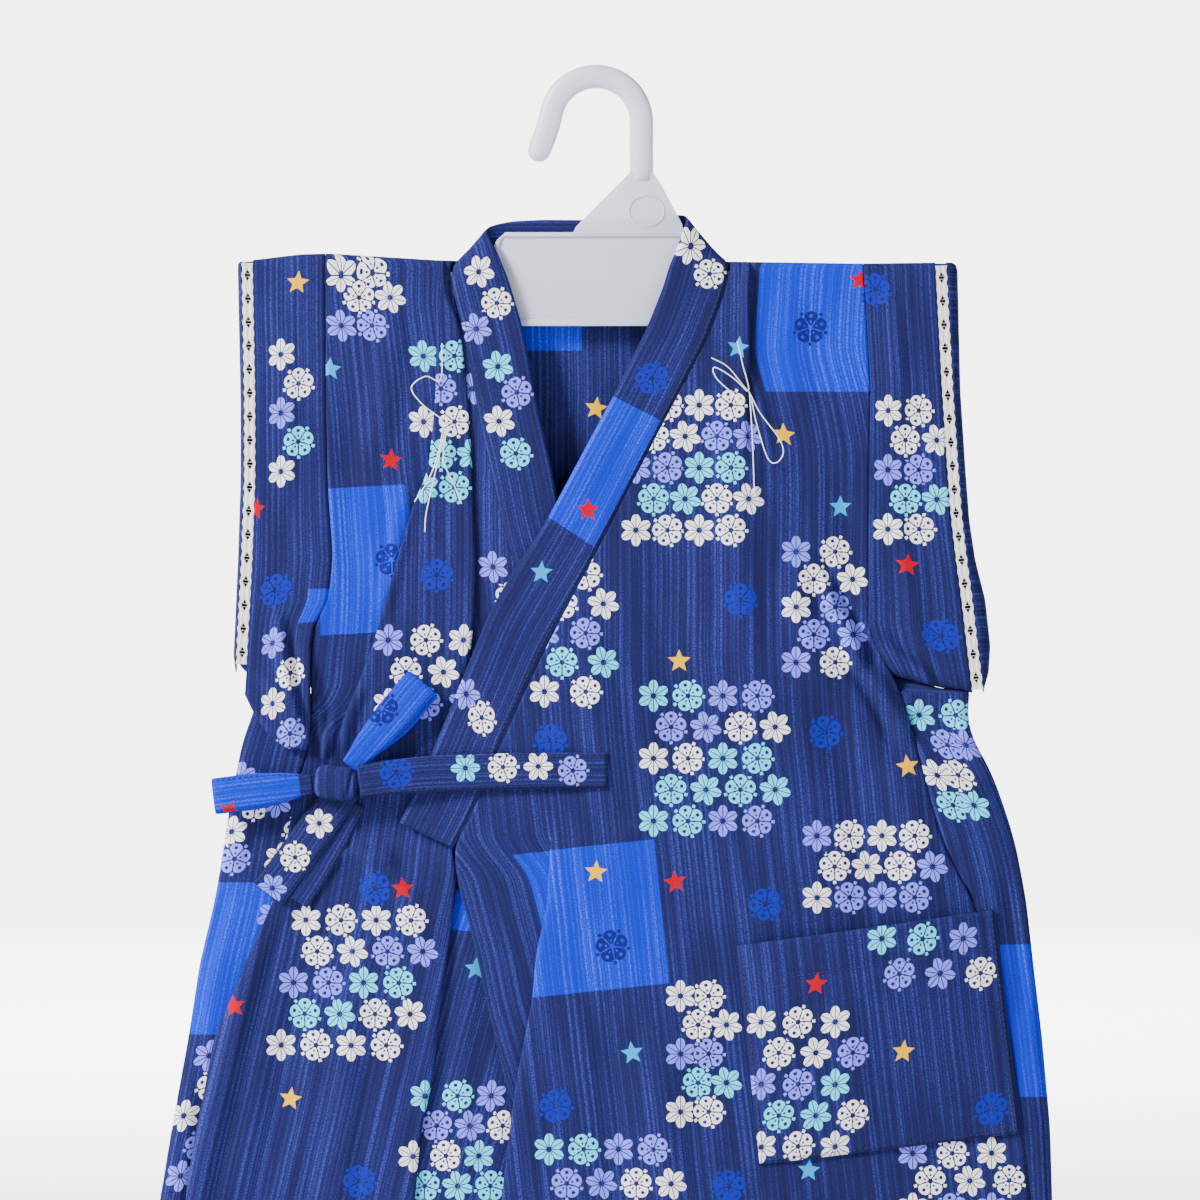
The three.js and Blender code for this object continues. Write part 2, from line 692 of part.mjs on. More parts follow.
/**
 * One ribbon of ladder lace down a layer of a sleeve, with a diamond cut through at each pitch
 * and an edge that swells between them.
 */
function laceRibbon({ away, lines, bottom }, depth) {
  const high = ridge(at(lines, "laceIn", SHOULDER_Z)) - 2;
  const low = bottom.laceIn + 3;
  const count = Math.floor((high - low) / LACE_PITCH);
  const pitch = (high - low) / count;
  const swell = 0.2;
  const inset = SEAM + 0.1;
  const points = [];
  const place = (z, share, out) => {
    const edges = [at(lines, "laceIn", z) + away * inset, at(lines, "laceOut", z) - away * inset];
    const x = mix(edges[0], edges[1], share) + away * out;
    return points.push(point(x, depth - CLOTH / 2, z), point(x, depth + CLOTH / 2, z)) / 2 - 1;
  };
  const index = [];
  const face = (...loop) => {
    for (let i = 1; i < loop.length - 1; i++) {
      index.push(2 * loop[0], 2 * loop[i], 2 * loop[i + 1]);
      index.push(2 * loop[0] + 1, 2 * loop[i + 1] + 1, 2 * loop[i] + 1);
    }
  };
  const rim = (a, b) => index.push(2 * a, 2 * b + 1, 2 * b, 2 * a, 2 * a + 1, 2 * b + 1);
  const start = (z) => ({ inner: place(z, 0, 0), outer: place(z, 1, 0), bar: null });
  let above = start(high);
  for (let i = 0; i < count; i++) {
    const z = high - pitch * (i + 0.5);
    const half = { wide: LACE_HOLE.wide / 2, tall: LACE_HOLE.tall / 2 };
    const inner = place(z, 0, -swell);
    const outer = place(z, 1, swell);
    const [top, bottomPoint] = [place(z + half.tall, 0.5, 0), place(z - half.tall, 0.5, 0)];
    const [near, far] = [place(z, 0.5, -half.wide), place(z, 0.5, half.wide)];
    const below = start(z - pitch / 2);
    const lastBar = above.bar;
    if (lastBar !== null) {
      face(above.inner, top, lastBar);
      face(above.outer, lastBar, top);
    } else {
      face(above.inner, top, above.outer);
      rim(above.outer, above.inner);
    }
    face(above.inner, inner, near, top);
    face(inner, below.inner, bottomPoint, near);
    face(above.outer, top, far, outer);
    face(outer, far, bottomPoint, below.outer);
    rim(above.inner, inner);
    rim(inner, below.inner);
    rim(outer, above.outer);
    rim(below.outer, outer);
    [[top, near], [near, bottomPoint], [bottomPoint, far], [far, top]].forEach(([a, b]) => rim(b, a));
    below.bar = bottomPoint;
    above = below;
  }
  face(above.inner, above.outer, above.bar);
  rim(above.inner, above.outer);
  return facingOut(points, index);
}

// Pocket

const POCKET = {
  corners: { tl: [70, -428], tr: [199, -410.5], bl: [81.5, -537], br: [212, -522] },
  clear: 1.35, // its cloth lies this far out from the front's mid-surface
  gape: 6.2, // and its mouth stands this much further out
  across: 10,
  down: 8,
};

/** Mid-surface of the over front at (x, z). */
function overSurface(x, z) {
  const section = overSection(z);
  for (let i = section.length - 1; i > 0; i--) {
    const [[x0, y0], [x1, y1]] = [section[i - 1], section[i]];
    if (x >= x0 && x <= x1) return mix(y0, y1, (x - x0) / (x1 - x0));
  }
  return section[section.length - 1][1];
}

/** The patch pocket, made from the panel's points moved out. */
function pocketRows() {
  const { corners, clear, gape, across, down } = POCKET;
  const corner = ([x, z]) => new THREE.Vector2(x, z);
  return Array.from({ length: down + 1 }, (_, r) => {
    const v = r / down;
    const from = corner(corners.tl).lerp(corner(corners.bl), v);
    const to = corner(corners.tr).lerp(corner(corners.br), v);
    return Array.from({ length: across + 1 }, (_, c) => {
      const u = c / across;
      const { x, y: z } = from.clone().lerp(to, u);
      const stand = gape * Math.sin(Math.PI * u) ** 0.8 * (1 - v) ** 0.8;
      return point(x, overSurface(x, z) - clear - stand, z);
    });
  });
}

// Bow

const KNOT = { x: -129.5, y: -13, z: -347, wide: 21, deep: 9, tall: 16.5, lean: 0.12 };

/** A flat tie along a path of [x, y, z, width], its width square to the path in the front's plane. */
function tieRows(path) {
  const points = path.map(([x, y, z]) => point(x, y, z));
  return path.map(([, , , width, turn = 0], i) => {
    const along = tangent(points, i, false);
    const side = point(along.z, 0, -along.x);
    if (side.length() < 0.3) side.copy(point(turn, 0, 1));
    side.normalize();
    return [-0.5, -0.17, 0.17, 0.5].map((s) => points[i].clone().addScaledVector(side, s * width));
  });
}

/** A loop of tie: out in front, round its end and back behind, on one straight axis. */
function loopRows({ root, tip, widths, fat, depth }) {
  const axis = point(tip[0] - root[0], 0, tip[1] - root[1]);
  const length = axis.length();
  axis.normalize();
  const side = point(-axis.z, 0, axis.x);
  const stations = [
    [0.0, -0.5],
    [0.25, -0.8],
    [0.55, -1],
    [0.85, -1],
    [0.97, -0.7],
    [1.0, 0],
    [0.97, 0.7],
    [0.85, 1],
    [0.55, 1],
    [0.25, 0.8],
    [0.0, 0.5],
  ];
  return stations.map(([share, out]) => {
    const centre = point(root[0], depth, root[1]).addScaledVector(axis, share * length);
    centre.y += (out * fat) / 2;
    const width = mix(widths[0], widths[1], THREE.MathUtils.smoothstep(share, 0, 0.45));
    return [-0.5, -0.17, 0.17, 0.5].map((s) => centre.clone().addScaledVector(side, s * width));
  });
}

const LEFT_LOOP = { root: [-141, -347.5], tip: [-191, -353.5], widths: [9, 17.5], fat: 3, depth: -12.5 };
const UP_LOOP = { root: [-122.6, -339], tip: [-86.5, -296], widths: [9, 17.5], fat: 2.4, depth: -11.3 };
const LEVEL_TAIL = [
  [-118.2, -15.6, -346.5, 16],
  [-104, -14.8, -344.4, 17],
  [-88, -13.9, -343, 18],
  [-75, -12.7, -342.3, 18],
  [-55, -11.6, -341.6, 18],
  [-20, -11, -341, 18],
  [5.5, -10.8, -341, 18],
];
const LOW_TAIL = [
  [-131.5, -10, -358, 12],
  [-137, -9, -366, 15],
  [-148, -7.6, -381.5, 18],
  [-163.5, -7, -402.5, 18],
];

/** The knot: a rounded block, wider across the top, leaning a little. */
function knotGeometry() {
  const ball = new THREE.SphereGeometry(0.5, 12, 8);
  const position = ball.getAttribute("position");
  const square = (v) => Math.sign(v) * Math.abs(v) ** 0.62;
  for (let i = 0; i < position.count; i++) {
    const p = point().fromBufferAttribute(position, i).multiplyScalar(2);
    const [x, y, z] = [square(p.x) * 0.5, square(p.y) * 0.5, square(p.z) * 0.5];
    position.setXYZ(i, x * KNOT.wide, -z * KNOT.deep, y * KNOT.tall);
  }
  ball.rotateY(KNOT.lean);
  ball.translate(KNOT.x, KNOT.y, KNOT.z);
  return ball;
}

// Hanger

const wasm = await Module();
wasm.setup();

/** A closed geometry as a manifold solid. */
function solidOf(geometry) {
  const clean = geometry.clone();
  clean.deleteAttribute("normal");
  clean.deleteAttribute("uv");
  const merged = mergeVertices(clean, 1e-4);
  return new wasm.Manifold(
    new wasm.Mesh({
      numProp: 3,
      vertProperties: Float32Array.from(merged.getAttribute("position").array),
      triVerts: Uint32Array.from(merged.index.array),
    }),
  );
}

/** A manifold solid as a geometry. */
function geometryOf(solid) {
  const mesh = solid.getMesh();
  const geometry = new THREE.BufferGeometry();
  geometry.setAttribute("position", new THREE.BufferAttribute(mesh.vertProperties, 3));
  geometry.setIndex(new THREE.BufferAttribute(mesh.triVerts, 1));
  geometry.computeVertexNormals();
  return geometry;
}

/** A plate with the outline of [x, z] points, centred on the front's plane. */
function plate(outline, thickness, hole = null) {
  const shape = new THREE.Shape(outline.map(([x, z]) => new THREE.Vector2(x, z)));
  if (hole) shape.holes.push(new THREE.Path(hole.map(([x, z]) => new THREE.Vector2(x, z))));
  const geometry = new THREE.ExtrudeGeometry(shape, { depth: thickness, bevelEnabled: false });
  geometry.rotateX(Math.PI / 2);
  geometry.translate(0, thickness / 2, 0);
  return geometry;
}

// Half outline of the plate and arm, from the plate's top edge down round the arm to its lower edge;
// seated points lie just under the cloth of the shoulders
const HANGER_HALF = table(["x", "z", "seated"], [
  [45.5, -72.4, 0],
  [49.5, -76, 0],
  [54, -84, 0],
  [60, -91, 0],
  [82, -93, 0],
  [100, 0, 1],
  [132, 0, 1],
  [148, 0, 1],
  [151, -92, 0],
  [148, -96.5, 0],
  [100, -101.5, 0],
  [70, -105, 0],
  [56, -109, 0],
  [50, -116, 0],
  [44, -119, 0],
]);
const SEAT = 1.25; // from the mid-surface of the shoulders' cloth down to the arm

/** The hanger, moulded in one: hook, gusset, plate with its rims, and two flat arms. */
function hangerGeometry() {
  const { x, z, radius, wide, deep, stemX, stemZ } = HOOK;
  const arc = Array.from({ length: 17 }, (_, i) => {
    const angle = mix(0, THREE.MathUtils.degToRad(160), i / 16);
    return point(x + radius * Math.cos(angle), 0, z + radius * Math.sin(angle));
  });
  const route = [point(stemX, 0, stemZ), point(stemX, 0, -30), ...arc, point(-24.4, 0, -19), point(-28.4, 0, -30.5)];
  const section = new THREE.Shape().absellipse(0, 0, deep / 2, wide / 2, 0, Math.PI * 2);
  const hook = new THREE.ExtrudeGeometry(section, {
    steps: 28,
    curveSegments: 5,
    bevelEnabled: false,
    extrudePath: new THREE.CatmullRomCurve3(route),
  });
  const tip = new THREE.SphereGeometry(wide / 2, 12, 8);
  tip.scale(1, deep / wide, 1);
  tip.translate(-28.4, 0, -30.6);
  const gusset = plate(
    [[17.2, -42], [28.4, -42], [33.5, -50], [43, -68], [44, -73.5], [-12, -73.5], [-10, -69.5]],
    PLATE,
  );
  const half = (side) =>
    HANGER_HALF.map((p) => [side * p.x, p.seated ? ridge(side * p.x) - SEAT : p.z]);
  const body = plate([...half(-1).toReversed(), ...half(1)], PLATE);
  const topRim = plate([[-45.5, -72.4], [45.5, -72.4], [45.5, -73.8], [-45.5, -73.8]], RIM);
  const lowRim = plate([[-44, -119], [44, -119], [46.5, -116.3], [-46.5, -116.3]].toReversed(), RIM);
  const oval = (rx, rz) =>
    Array.from({ length: 16 }, (_, i) => {
      const angle = (i / 16) * Math.PI * 2;
      return [24.5 + rx * Math.cos(angle), -62 + rz * Math.sin(angle)];
    });
  const ring = plate(oval(8.6, 7.6), RIM - 0.4, oval(7.4, 6.4));
  return geometryOf(
    [tip, gusset, body, topRim, lowRim, ring].reduce((sum, part) => sum.add(solidOf(part)), solidOf(hook)),
  );
}

// The garment and its hanger

const garment = new THREE.Group();

/** Adds a named piece in its own material. */
function add(name, geometry, colour, roughness = 0.85) {
  const material = new THREE.MeshStandardMaterial({ color: colour, roughness, metalness: 0 });
  const mesh = new THREE.Mesh(geometry, material);
  mesh.name = name;
  garment.add(mesh);
}

const NAVY = 0x27306a;
const BLUE = 0x2a62d6;
const WHITE = 0xe9e6e3;

add("back", wall(backRows(), CLOTH), NAVY);
add("front_over", wall(panelRows(overSection), CLOTH), NAVY);
add("front_under", wall(panelRows(underSection), CLOTH), NAVY);
add("collar", wall(collarRows, BAND), NAVY);
add("pocket", wall(pocketRows(), CLOTH), NAVY);
for (const [side, piece] of Object.entries(SIDES)) {
  add(`side_${side}`, wall(sideRows(piece), CLOTH), NAVY);
}
for (const [side, sleeve] of Object.entries(SLEEVES)) {
  add(`sleeve_strip_${side}`, wall(stripRings(sleeve), CLOTH, true), NAVY);
  add(`lace_front_${side}`, laceRibbon(sleeve, STRIP.front), WHITE);
  add(`lace_back_${side}`, laceRibbon(sleeve, STRIP.back), WHITE);
  add(`sleeve_${side}`, wall(turnedRings(sleeve), CLOTH, true), NAVY);
}
add("tie_knot", knotGeometry(), NAVY);
add("tie_loop_side", wall(loopRows(LEFT_LOOP), TIE), BLUE);
add("tie_loop_upper", wall(loopRows(UP_LOOP), TIE), BLUE);
add("tie_tail_level", wall(tieRows(LEVEL_TAIL), TIE), NAVY);
add("tie_tail_lower", wall(tieRows(LOW_TAIL), TIE), NAVY);
add("hanger", hangerGeometry(), 0xd8dde8, 0.45);

export default garment;
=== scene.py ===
"""A child's cotton jinbei jacket on its moulded hanger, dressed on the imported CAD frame.

Sizes in the tables and classes are millimetres in the frame's axes: +Z is up, the front faces -Y and the
wearer's left is at +X. Meshes are made in metres.
"""

import logging
import math
from dataclasses import dataclass, field
from enum import Enum
from functools import partial
from typing import Callable, Iterable, Sequence

import bmesh
import bpy
import numpy as np
from bmesh.types import BMesh, BMFace, BMVert
from bpy.types import Material, Node, NodeSocket, NodeTree, Object
from mathutils import Matrix, Vector


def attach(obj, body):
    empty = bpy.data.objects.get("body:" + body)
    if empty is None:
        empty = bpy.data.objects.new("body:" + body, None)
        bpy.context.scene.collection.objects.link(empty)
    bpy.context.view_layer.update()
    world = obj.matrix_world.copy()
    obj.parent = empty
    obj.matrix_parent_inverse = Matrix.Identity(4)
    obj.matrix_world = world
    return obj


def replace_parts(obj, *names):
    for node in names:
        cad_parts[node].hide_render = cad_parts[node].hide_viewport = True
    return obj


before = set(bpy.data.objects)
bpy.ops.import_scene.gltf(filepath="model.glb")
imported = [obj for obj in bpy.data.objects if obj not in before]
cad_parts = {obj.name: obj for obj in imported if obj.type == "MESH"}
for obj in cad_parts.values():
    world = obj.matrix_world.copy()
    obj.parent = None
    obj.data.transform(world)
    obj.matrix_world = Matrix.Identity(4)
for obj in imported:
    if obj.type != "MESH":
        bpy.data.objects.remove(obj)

log = logging.getLogger("jinbei")

MM = 0.001
STEP = 2.6  # spacing of the cloth's mesh
CLOTH = 0.6  # one layer of light cotton
SEAM = 0.1  # two panels meet this closely at a seam
SHOULDER_Z = -87.0
BAND_END_Z = -379.5  # square end of the collar on the over front
HEM_Z = -606.0
FOLD_RADIUS = 0.8
LIFT = 4 * FOLD_RADIUS  # a pressed fold's top layer lies this far out from its lowest
DEEPER = 1.6  # all creases are pressed in this much more than listed

SAME_SPOT = 1.5  # points this close to the nearest one count as the same place, in whichever layer they lie
OFF_PRINT = 9.0  # a place this many radii out lies on no figure or block

Section = list[tuple[float, float]]
Point = tuple[float, float, float]
Number = float | np.ndarray
Socket = NodeSocket
Adder = Callable[..., Socket]  # adds a node to one tree
Layer = Callable[[float], tuple[float, float]]  # gives (x, y) of a layer of cloth at a height


# Colours and finishes


class Hue(Enum):
    """Colours read from the photo, as sRGB hex."""

    NAVY = "#1A1B40"
    SLUB = "#353B90"
    BRIGHT = "#0318AE"
    PALE_SLUB = "#2C50F0"
    WHITE = "#F7F3F9"
    LAVENDER = "#7C7EFF"
    CYAN = "#59DAFF"
    MIDDLE = "#12209E"
    DEEP = "#1A1A60"
    RED = "#AE001C"
    YELLOW = "#E8B000"
    SKY = "#0095DA"
    LACE = "#EDEBE6"
    THREAD = "#F2F0EA"
    NAVY_THREAD = "#12122C"
    HANGER = "#E0E4FF"
    STAGE = "#E6E6E4"


def linear(hue: Hue) -> tuple[float, float, float, float]:
    """The scene-linear RGBA of an sRGB hex colour."""
    parts = [int(hue.value[i : i + 2], 16) / 255 for i in (1, 3, 5)]
    return (*(p / 12.92 if p <= 0.04045 else ((p + 0.055) / 1.055) ** 2.4 for p in parts), 1.0)


def add(
    tree: NodeTree, kind: str, inputs: Sequence | dict = (), out: int | str = 0, **settings: object
) -> Socket | Node:
    """Adds one node and returns one of its outputs.

    Args:
        tree: The node tree.
        kind: A node's type, or the name of a Math operation in capitals.
        inputs: Values or sockets in order, or a dict from an input's name or place to them.
        out: The output to return.
        settings: The node's own properties.

    Returns:
        The output, or the node where it has none.
    """
    if kind.isupper():
        kind, settings = "ShaderNodeMath", {"operation": kind, **settings}
    node = tree.nodes.new(kind)
    for name, value in settings.items():
        setattr(node, name, value)
    for key, value in inputs.items() if isinstance(inputs, dict) else enumerate(inputs):
        if isinstance(value, NodeSocket):
            tree.links.new(value, node.inputs[key])
        else:
            node.inputs[key].default_value = value
    return node.outputs[out] if node.outputs else node


def new_material(name: str) -> tuple[Material, NodeTree]:
    """An empty node material and its tree.

    Args:
        name: The material's name.

    Returns:
        Both of them.
    """
    material = bpy.data.materials.new(name)
    material.use_nodes = True
    material.node_tree.nodes.clear()
    return material, material.node_tree


class Shape(Enum):
    """Printed figures, by the number that a face carries."""

    STAR = 1.0
    PLUM = 2.0
    HEMP = 3.0


@dataclass(frozen=True)
class SlubCotton:
    """Plain-weave cotton with thick and thin yarns, matt and a little fuzzy, printed on its face.

    Each face carries its own place in the nearest printed figure and colour block as UV maps, so the print
    lies on the cloth and breaks where the cloth folds, as real print does.
    """

    name: str
    roughness: float = 0.86
    fuzz: float = 0.01
    yarn_bump: float = 0.12  # height of the slub yarns, mm

    def material(self) -> Material:
        """The shader: ground, blocks and slub stripes below, figures on top.

        Returns:
            The finished material.
        """
        material, tree = new_material(self.name)
        new = partial(add, tree)
        grain = new("ShaderNodeUVMap", uv_map="Grain")
        across = new("ShaderNodeSeparateXYZ", [grain], 0)
        along = new("ShaderNodeSeparateXYZ", [grain], 1)
        # thick yarns show as fine broken lines along the grain, a few millimetres apart
        wobble = new("MULTIPLY_ADD", [self.noise(new, across, along, 30, 22, 0.0), 0.0012, across])
        thick = self.yarns(new, wobble, 230, 0.5)
        thin = new("MULTIPLY", [self.yarns(new, wobble, 560, 0.3), 0.6])
        dots = self.noise(new, across, along, 1100, 1300, 0.0)
        weave = self.noise(new, across, along, 2100, 2300, 0.0)
        broad = self.noise(new, across, along, 90, 12, 1.0)
        broken = new("ShaderNodeMapRange", [dots, 0.36, 0.6, 0.25, 1.0])
        lines = new("MULTIPLY", [new("MAXIMUM", [thick, thin]), broken])
        lines = new("MAXIMUM", [lines, new("ShaderNodeMapRange", [weave, 0.46, 0.7, 0.0, 0.42])])
        block = self.block(new)
        blend = {"data_type": "RGBA", "out": 2}
        ground = new("ShaderNodeMix", {0: block, 6: linear(Hue.NAVY), 7: linear(Hue.BRIGHT)}, **blend)
        slub = new("ShaderNodeMix", {0: block, 6: linear(Hue.SLUB), 7: linear(Hue.PALE_SLUB)}, **blend)
        strength = new("ShaderNodeMapRange", [broad, 0.35, 0.65, 0.35, 1.0])
        cloth = new("ShaderNodeMix", {0: new("MULTIPLY", [lines, strength]), 6: ground, 7: slub}, **blend)
        ink = new("ShaderNodeAttribute", attribute_name="figure_tint")
        colour = new("ShaderNodeMix", {0: self.figures(new, dots), 6: cloth, 7: ink}, **blend)
        normal = new("ShaderNodeBump", {"Height": dots, "Strength": 0.5, "Distance": self.yarn_bump * MM})
        shader = new(
            "ShaderNodeBsdfPrincipled",
            {
                "Base Color": colour,
                "Roughness": self.roughness,
                "Normal": normal,
                "Specular IOR Level": 0.03,
                "Sheen Weight": self.fuzz,
                "Sheen Roughness": 0.6,
            },
        )
        new("ShaderNodeOutputMaterial", [shader])
        return material

    @staticmethod
    def yarns(new: Adder, across: Socket, per_metre: float, half_width: float) -> Socket:
        """Thick yarns at uneven distances, so many to the metre and so many millimetres to each side."""
        away = new(
            "ShaderNodeTexVoronoi",
            {"W": across, "Scale": per_metre, "Randomness": 1.0},
            voronoi_dimensions="1D",
        )
        edge = half_width * MM * per_metre
        return new("ShaderNodeMapRange", [away, edge * 0.6, edge * 1.5, 1.0, 0.0])

    @staticmethod
    def noise(
        new: Adder, across: Socket, along: Socket, wide: float, long: float, detail: float
    ) -> Socket:
        """Noise on the cloth with so many cells a metre across and along the grain.

        Args:
            new: Adds a node to the material's tree.
            across: Distance across the grain, in metres.
            along: Distance along the grain, in metres.
            wide: Cells in a metre across.
            long: Cells in a metre along.
            detail: Octaves of finer noise.

        Returns:
            The noise.
        """
        place = new(
            "ShaderNodeCombineXYZ",
            [new("MULTIPLY", [across, wide]), new("MULTIPLY", [along, long])],
        )
        return new(
            "ShaderNodeTexNoise", {"Vector": place, "Scale": 1.0, "Detail": detail}, noise_dimensions="2D"
        )

    @staticmethod
    def block(new: Adder) -> Socket:
        """1 inside the colour block nearest to the face, whose sides lie at 1 and -1.

        Args:
            new: Adds a node to the material's tree.

        Returns:
            The block's mask.
        """
        place = new("ShaderNodeUVMap", uv_map="Block")
        x = new("ABSOLUTE", [new("ShaderNodeSeparateXYZ", [place], 0)])
        y = new("ABSOLUTE", [new("ShaderNodeSeparateXYZ", [place], 1)])
        return new("LESS_THAN", [new("MAXIMUM", [x, y]), 1.0])

    @staticmethod
    def star(new: Adder, r: Socket, angle: Socket) -> Socket:
        """Mask of a star: in one tenth of it, the side of the line from its tip to its inner corner.

        Args:
            new: Adds a node to the material's tree.
            r: Distance from the centre, in radii.
            angle: Direction from the centre.

        Returns:
            1 on the figure, 0 beside it.
        """
        tip, inner = 1.0, 0.45
        vx, vy = inner * math.cos(math.pi / 5), inner * math.sin(math.pi / 5)
        tenth = new("PINGPONG", [angle, math.pi / 5])
        px = new("MULTIPLY", [r, new("COSINE", [tenth])])
        py = new("MULTIPLY", [r, new("SINE", [tenth])])
        edge = new("MULTIPLY_ADD", [px, vy, -tip * vy])
        return new("LESS_THAN", [new("MULTIPLY_ADD", [py, tip - vx, edge]), 0.0])

    @staticmethod
    def waves(new: Adder, angle: Socket, kind: str, turns: float) -> Socket:
        """Size of a sine or cosine with so many turns round the figure."""
        return new("ABSOLUTE", [new(kind, [new("MULTIPLY", [angle, turns])])])

    @classmethod
    def plum(cls, new: Adder, r: Socket, angle: Socket) -> Socket:
        """Mask of a plum blossom: five round petals, slits between them, an eye, stamens and buds.

        Args:
            new: Adds a node to the material's tree.
            r: Distance from the centre, in radii.
            angle: Direction from the centre.

        Returns:
            1 on the figure, 0 beside it.
        """
        petal = cls.waves(new, angle, "COSINE", 2.5)  # 1 along the middle of a petal, 0 between two
        cleft, swell, slit_half = 0.62, 0.36, 0.09
        rim = new("MULTIPLY_ADD", [new("POWER", [petal, 0.5]), swell, cleft])
        petals = new("LESS_THAN", [r, rim])
        slit = new("GREATER_THAN", [new("MULTIPLY", [petal, r]), slit_half])
        stamens = new("COMPARE", [r, 0.36, 0.075])
        rays = new("GREATER_THAN", [new("COSINE", [new("MULTIPLY", [angle, 10.0])]), 0.1])
        eye = new("COMPARE", [r, 0.0, 0.16])
        cut = new("MAXIMUM", [new("MULTIPLY", [stamens, rays]), eye])
        spot = new("MULTIPLY", [new("COMPARE", [r, 0.7, 0.1]), new("GREATER_THAN", [petal, 0.93])])
        cut = new("MAXIMUM", [cut, spot])
        kept = new("MULTIPLY", [new("MULTIPLY", [petals, slit]), new("SUBTRACT", [1.0, cut])])
        bud = new("MULTIPLY", [new("COMPARE", [r, 0.98, 0.1]), new("LESS_THAN", [petal, 0.24])])
        return new("MAXIMUM", [kept, bud])

    @classmethod
    def hemp(cls, new: Adder, r: Socket, angle: Socket) -> Socket:
        """Mask of a hemp leaf: a six-pointed star of twelve slim leaves with slits between them.

        Args:
            new: Adds a node to the material's tree.
            r: Distance from the centre, in radii.
            angle: Direction from the centre.

        Returns:
            1 on the figure, 0 beside it.
        """
        valley, point, slit_half = 0.55, 0.42, 0.16
        rim = new("MULTIPLY_ADD", [cls.waves(new, angle, "COSINE", 3.0), point, valley])
        leaves = new("LESS_THAN", [r, rim])
        twelfth = cls.waves(new, angle, "SINE", 6.0)
        slit = new("GREATER_THAN", [new("MULTIPLY", [twelfth, r]), slit_half])
        return new("MULTIPLY", [leaves, slit])

    @classmethod
    def figures(cls, new: Adder, dots: Socket) -> Socket:
        """How much ink of the face's own figure covers a point; its place is in units of its radius.

        Args:
            new: Adds a node to the material's tree.
            dots: Fine noise of the yarns.

        Returns:
            1 where the ink is whole, 0 on bare cloth.
        """
        place = new("ShaderNodeUVMap", uv_map="Figure")
        x = new("ShaderNodeSeparateXYZ", [place], 0)
        y = new("ShaderNodeSeparateXYZ", [place], 1)
        kind = new("ShaderNodeAttribute", out=2, attribute_name="figure_kind")
        r = new("ShaderNodeVectorMath", [place], 1, operation="LENGTH")
        angle = new("ARCTAN2", [x, y])
        total = 0.0
        for shape, mask in ((Shape.STAR, cls.star), (Shape.PLUM, cls.plum), (Shape.HEMP, cls.hemp)):
            mine = new("COMPARE", [kind, shape.value, 0.2])
            total = new("MULTIPLY_ADD", [mask(new, r, angle), mine, total])
        # the blossoms' ink sinks in unevenly over the yarns, so the cloth shows through it in specks
        specks = new("ShaderNodeMapRange", [dots, 0.3, 0.5, 0.74, 1.0])
        solid = new("COMPARE", [kind, Shape.STAR.value, 0.2])
        return new("MULTIPLY", [total, new("MAXIMUM", [specks, solid])])


@dataclass(frozen=True)
class Matt:
    """A plain finish, for threads, lace, the hanger's plastic and studio paper: one colour, dull and even."""

    name: str
    hue: Hue
    roughness: float = 0.8
    sheen: float = 0.0
    soft: float = 0.0  # light that passes through the yarns or the plastic
    glow: float = 0.0  # light of its own, for paper lit from behind
    clear: float = 0.0  # how much of it is seen through

    def material(self) -> Material:
        """The shader.

        Returns:
            The finished material.
        """
        material, tree = new_material(self.name)
        shader = add(
            tree,
            "ShaderNodeBsdfPrincipled",
            {
                "Base Color": linear(self.hue),
                "Roughness": self.roughness,
                "Sheen Weight": self.sheen,
                "Subsurface Weight": self.soft,
                "Subsurface Radius": (0.0015, 0.0015, 0.002),
                "Emission Color": linear(self.hue),
                "Emission Strength": self.glow,
                "Transmission Weight": self.clear,
            },
        )
        add(tree, "ShaderNodeOutputMaterial", [shader])
        return material


# Grids of cloth


@dataclass(frozen=True)
class Table:
    """Stations down the garment: named columns over falling heights."""

    names: str
    rows: Sequence[Sequence[float]]

    def at(self, name: str, z: float) -> float:
        """A column's value at height z, straight between its stations."""
        heads = self.names.split()
        heights = [-row[heads.index("z")] for row in self.rows]
        return float(np.interp(-z, heights, [row[heads.index(name)] for row in self.rows]))

    def columns(self, *names: str) -> list[list[float]]:
        """Each row's values in these columns."""
        heads = self.names.split()
        return [[row[heads.index(name)] for name in names] for row in self.rows]


def mix(a: Number, b: Number, t: Number) -> Number:
    """The value at share t between a and b."""
    return a + (b - a) * t


def step(x: Number, low: float, high: float) -> Number:
    """Smooth 0 to 1 between low and high."""
    t = np.clip((x - low) / (high - low), 0, 1)
    return t * t * (3 - 2 * t)


def refine(points: np.ndarray, axis: int, spacing: float = STEP) -> np.ndarray:
    """Adds points along an axis of a grid, straight between its own, until none are further apart.

    Args:
        points: The grid of points.
        axis: 0 adds rows, 1 adds columns.
        spacing: The furthest that two may lie apart.

    Returns:
        The finer grid.
    """
    p = np.moveaxis(points, axis, 0)
    gaps = np.linalg.norm(np.diff(p, axis=0), axis=-1).max(axis=1)
    counts = np.maximum(1, np.ceil(gaps / spacing)).astype(int)
    places = np.concatenate([i + np.arange(n) / n for i, n in enumerate(counts)] + [[len(p) - 1.0]])
    low = np.minimum(places.astype(int), len(p) - 2)
    share = (places - low)[:, None, None]
    return np.moveaxis(p[low] * (1 - share) + p[low + 1] * share, 0, axis)


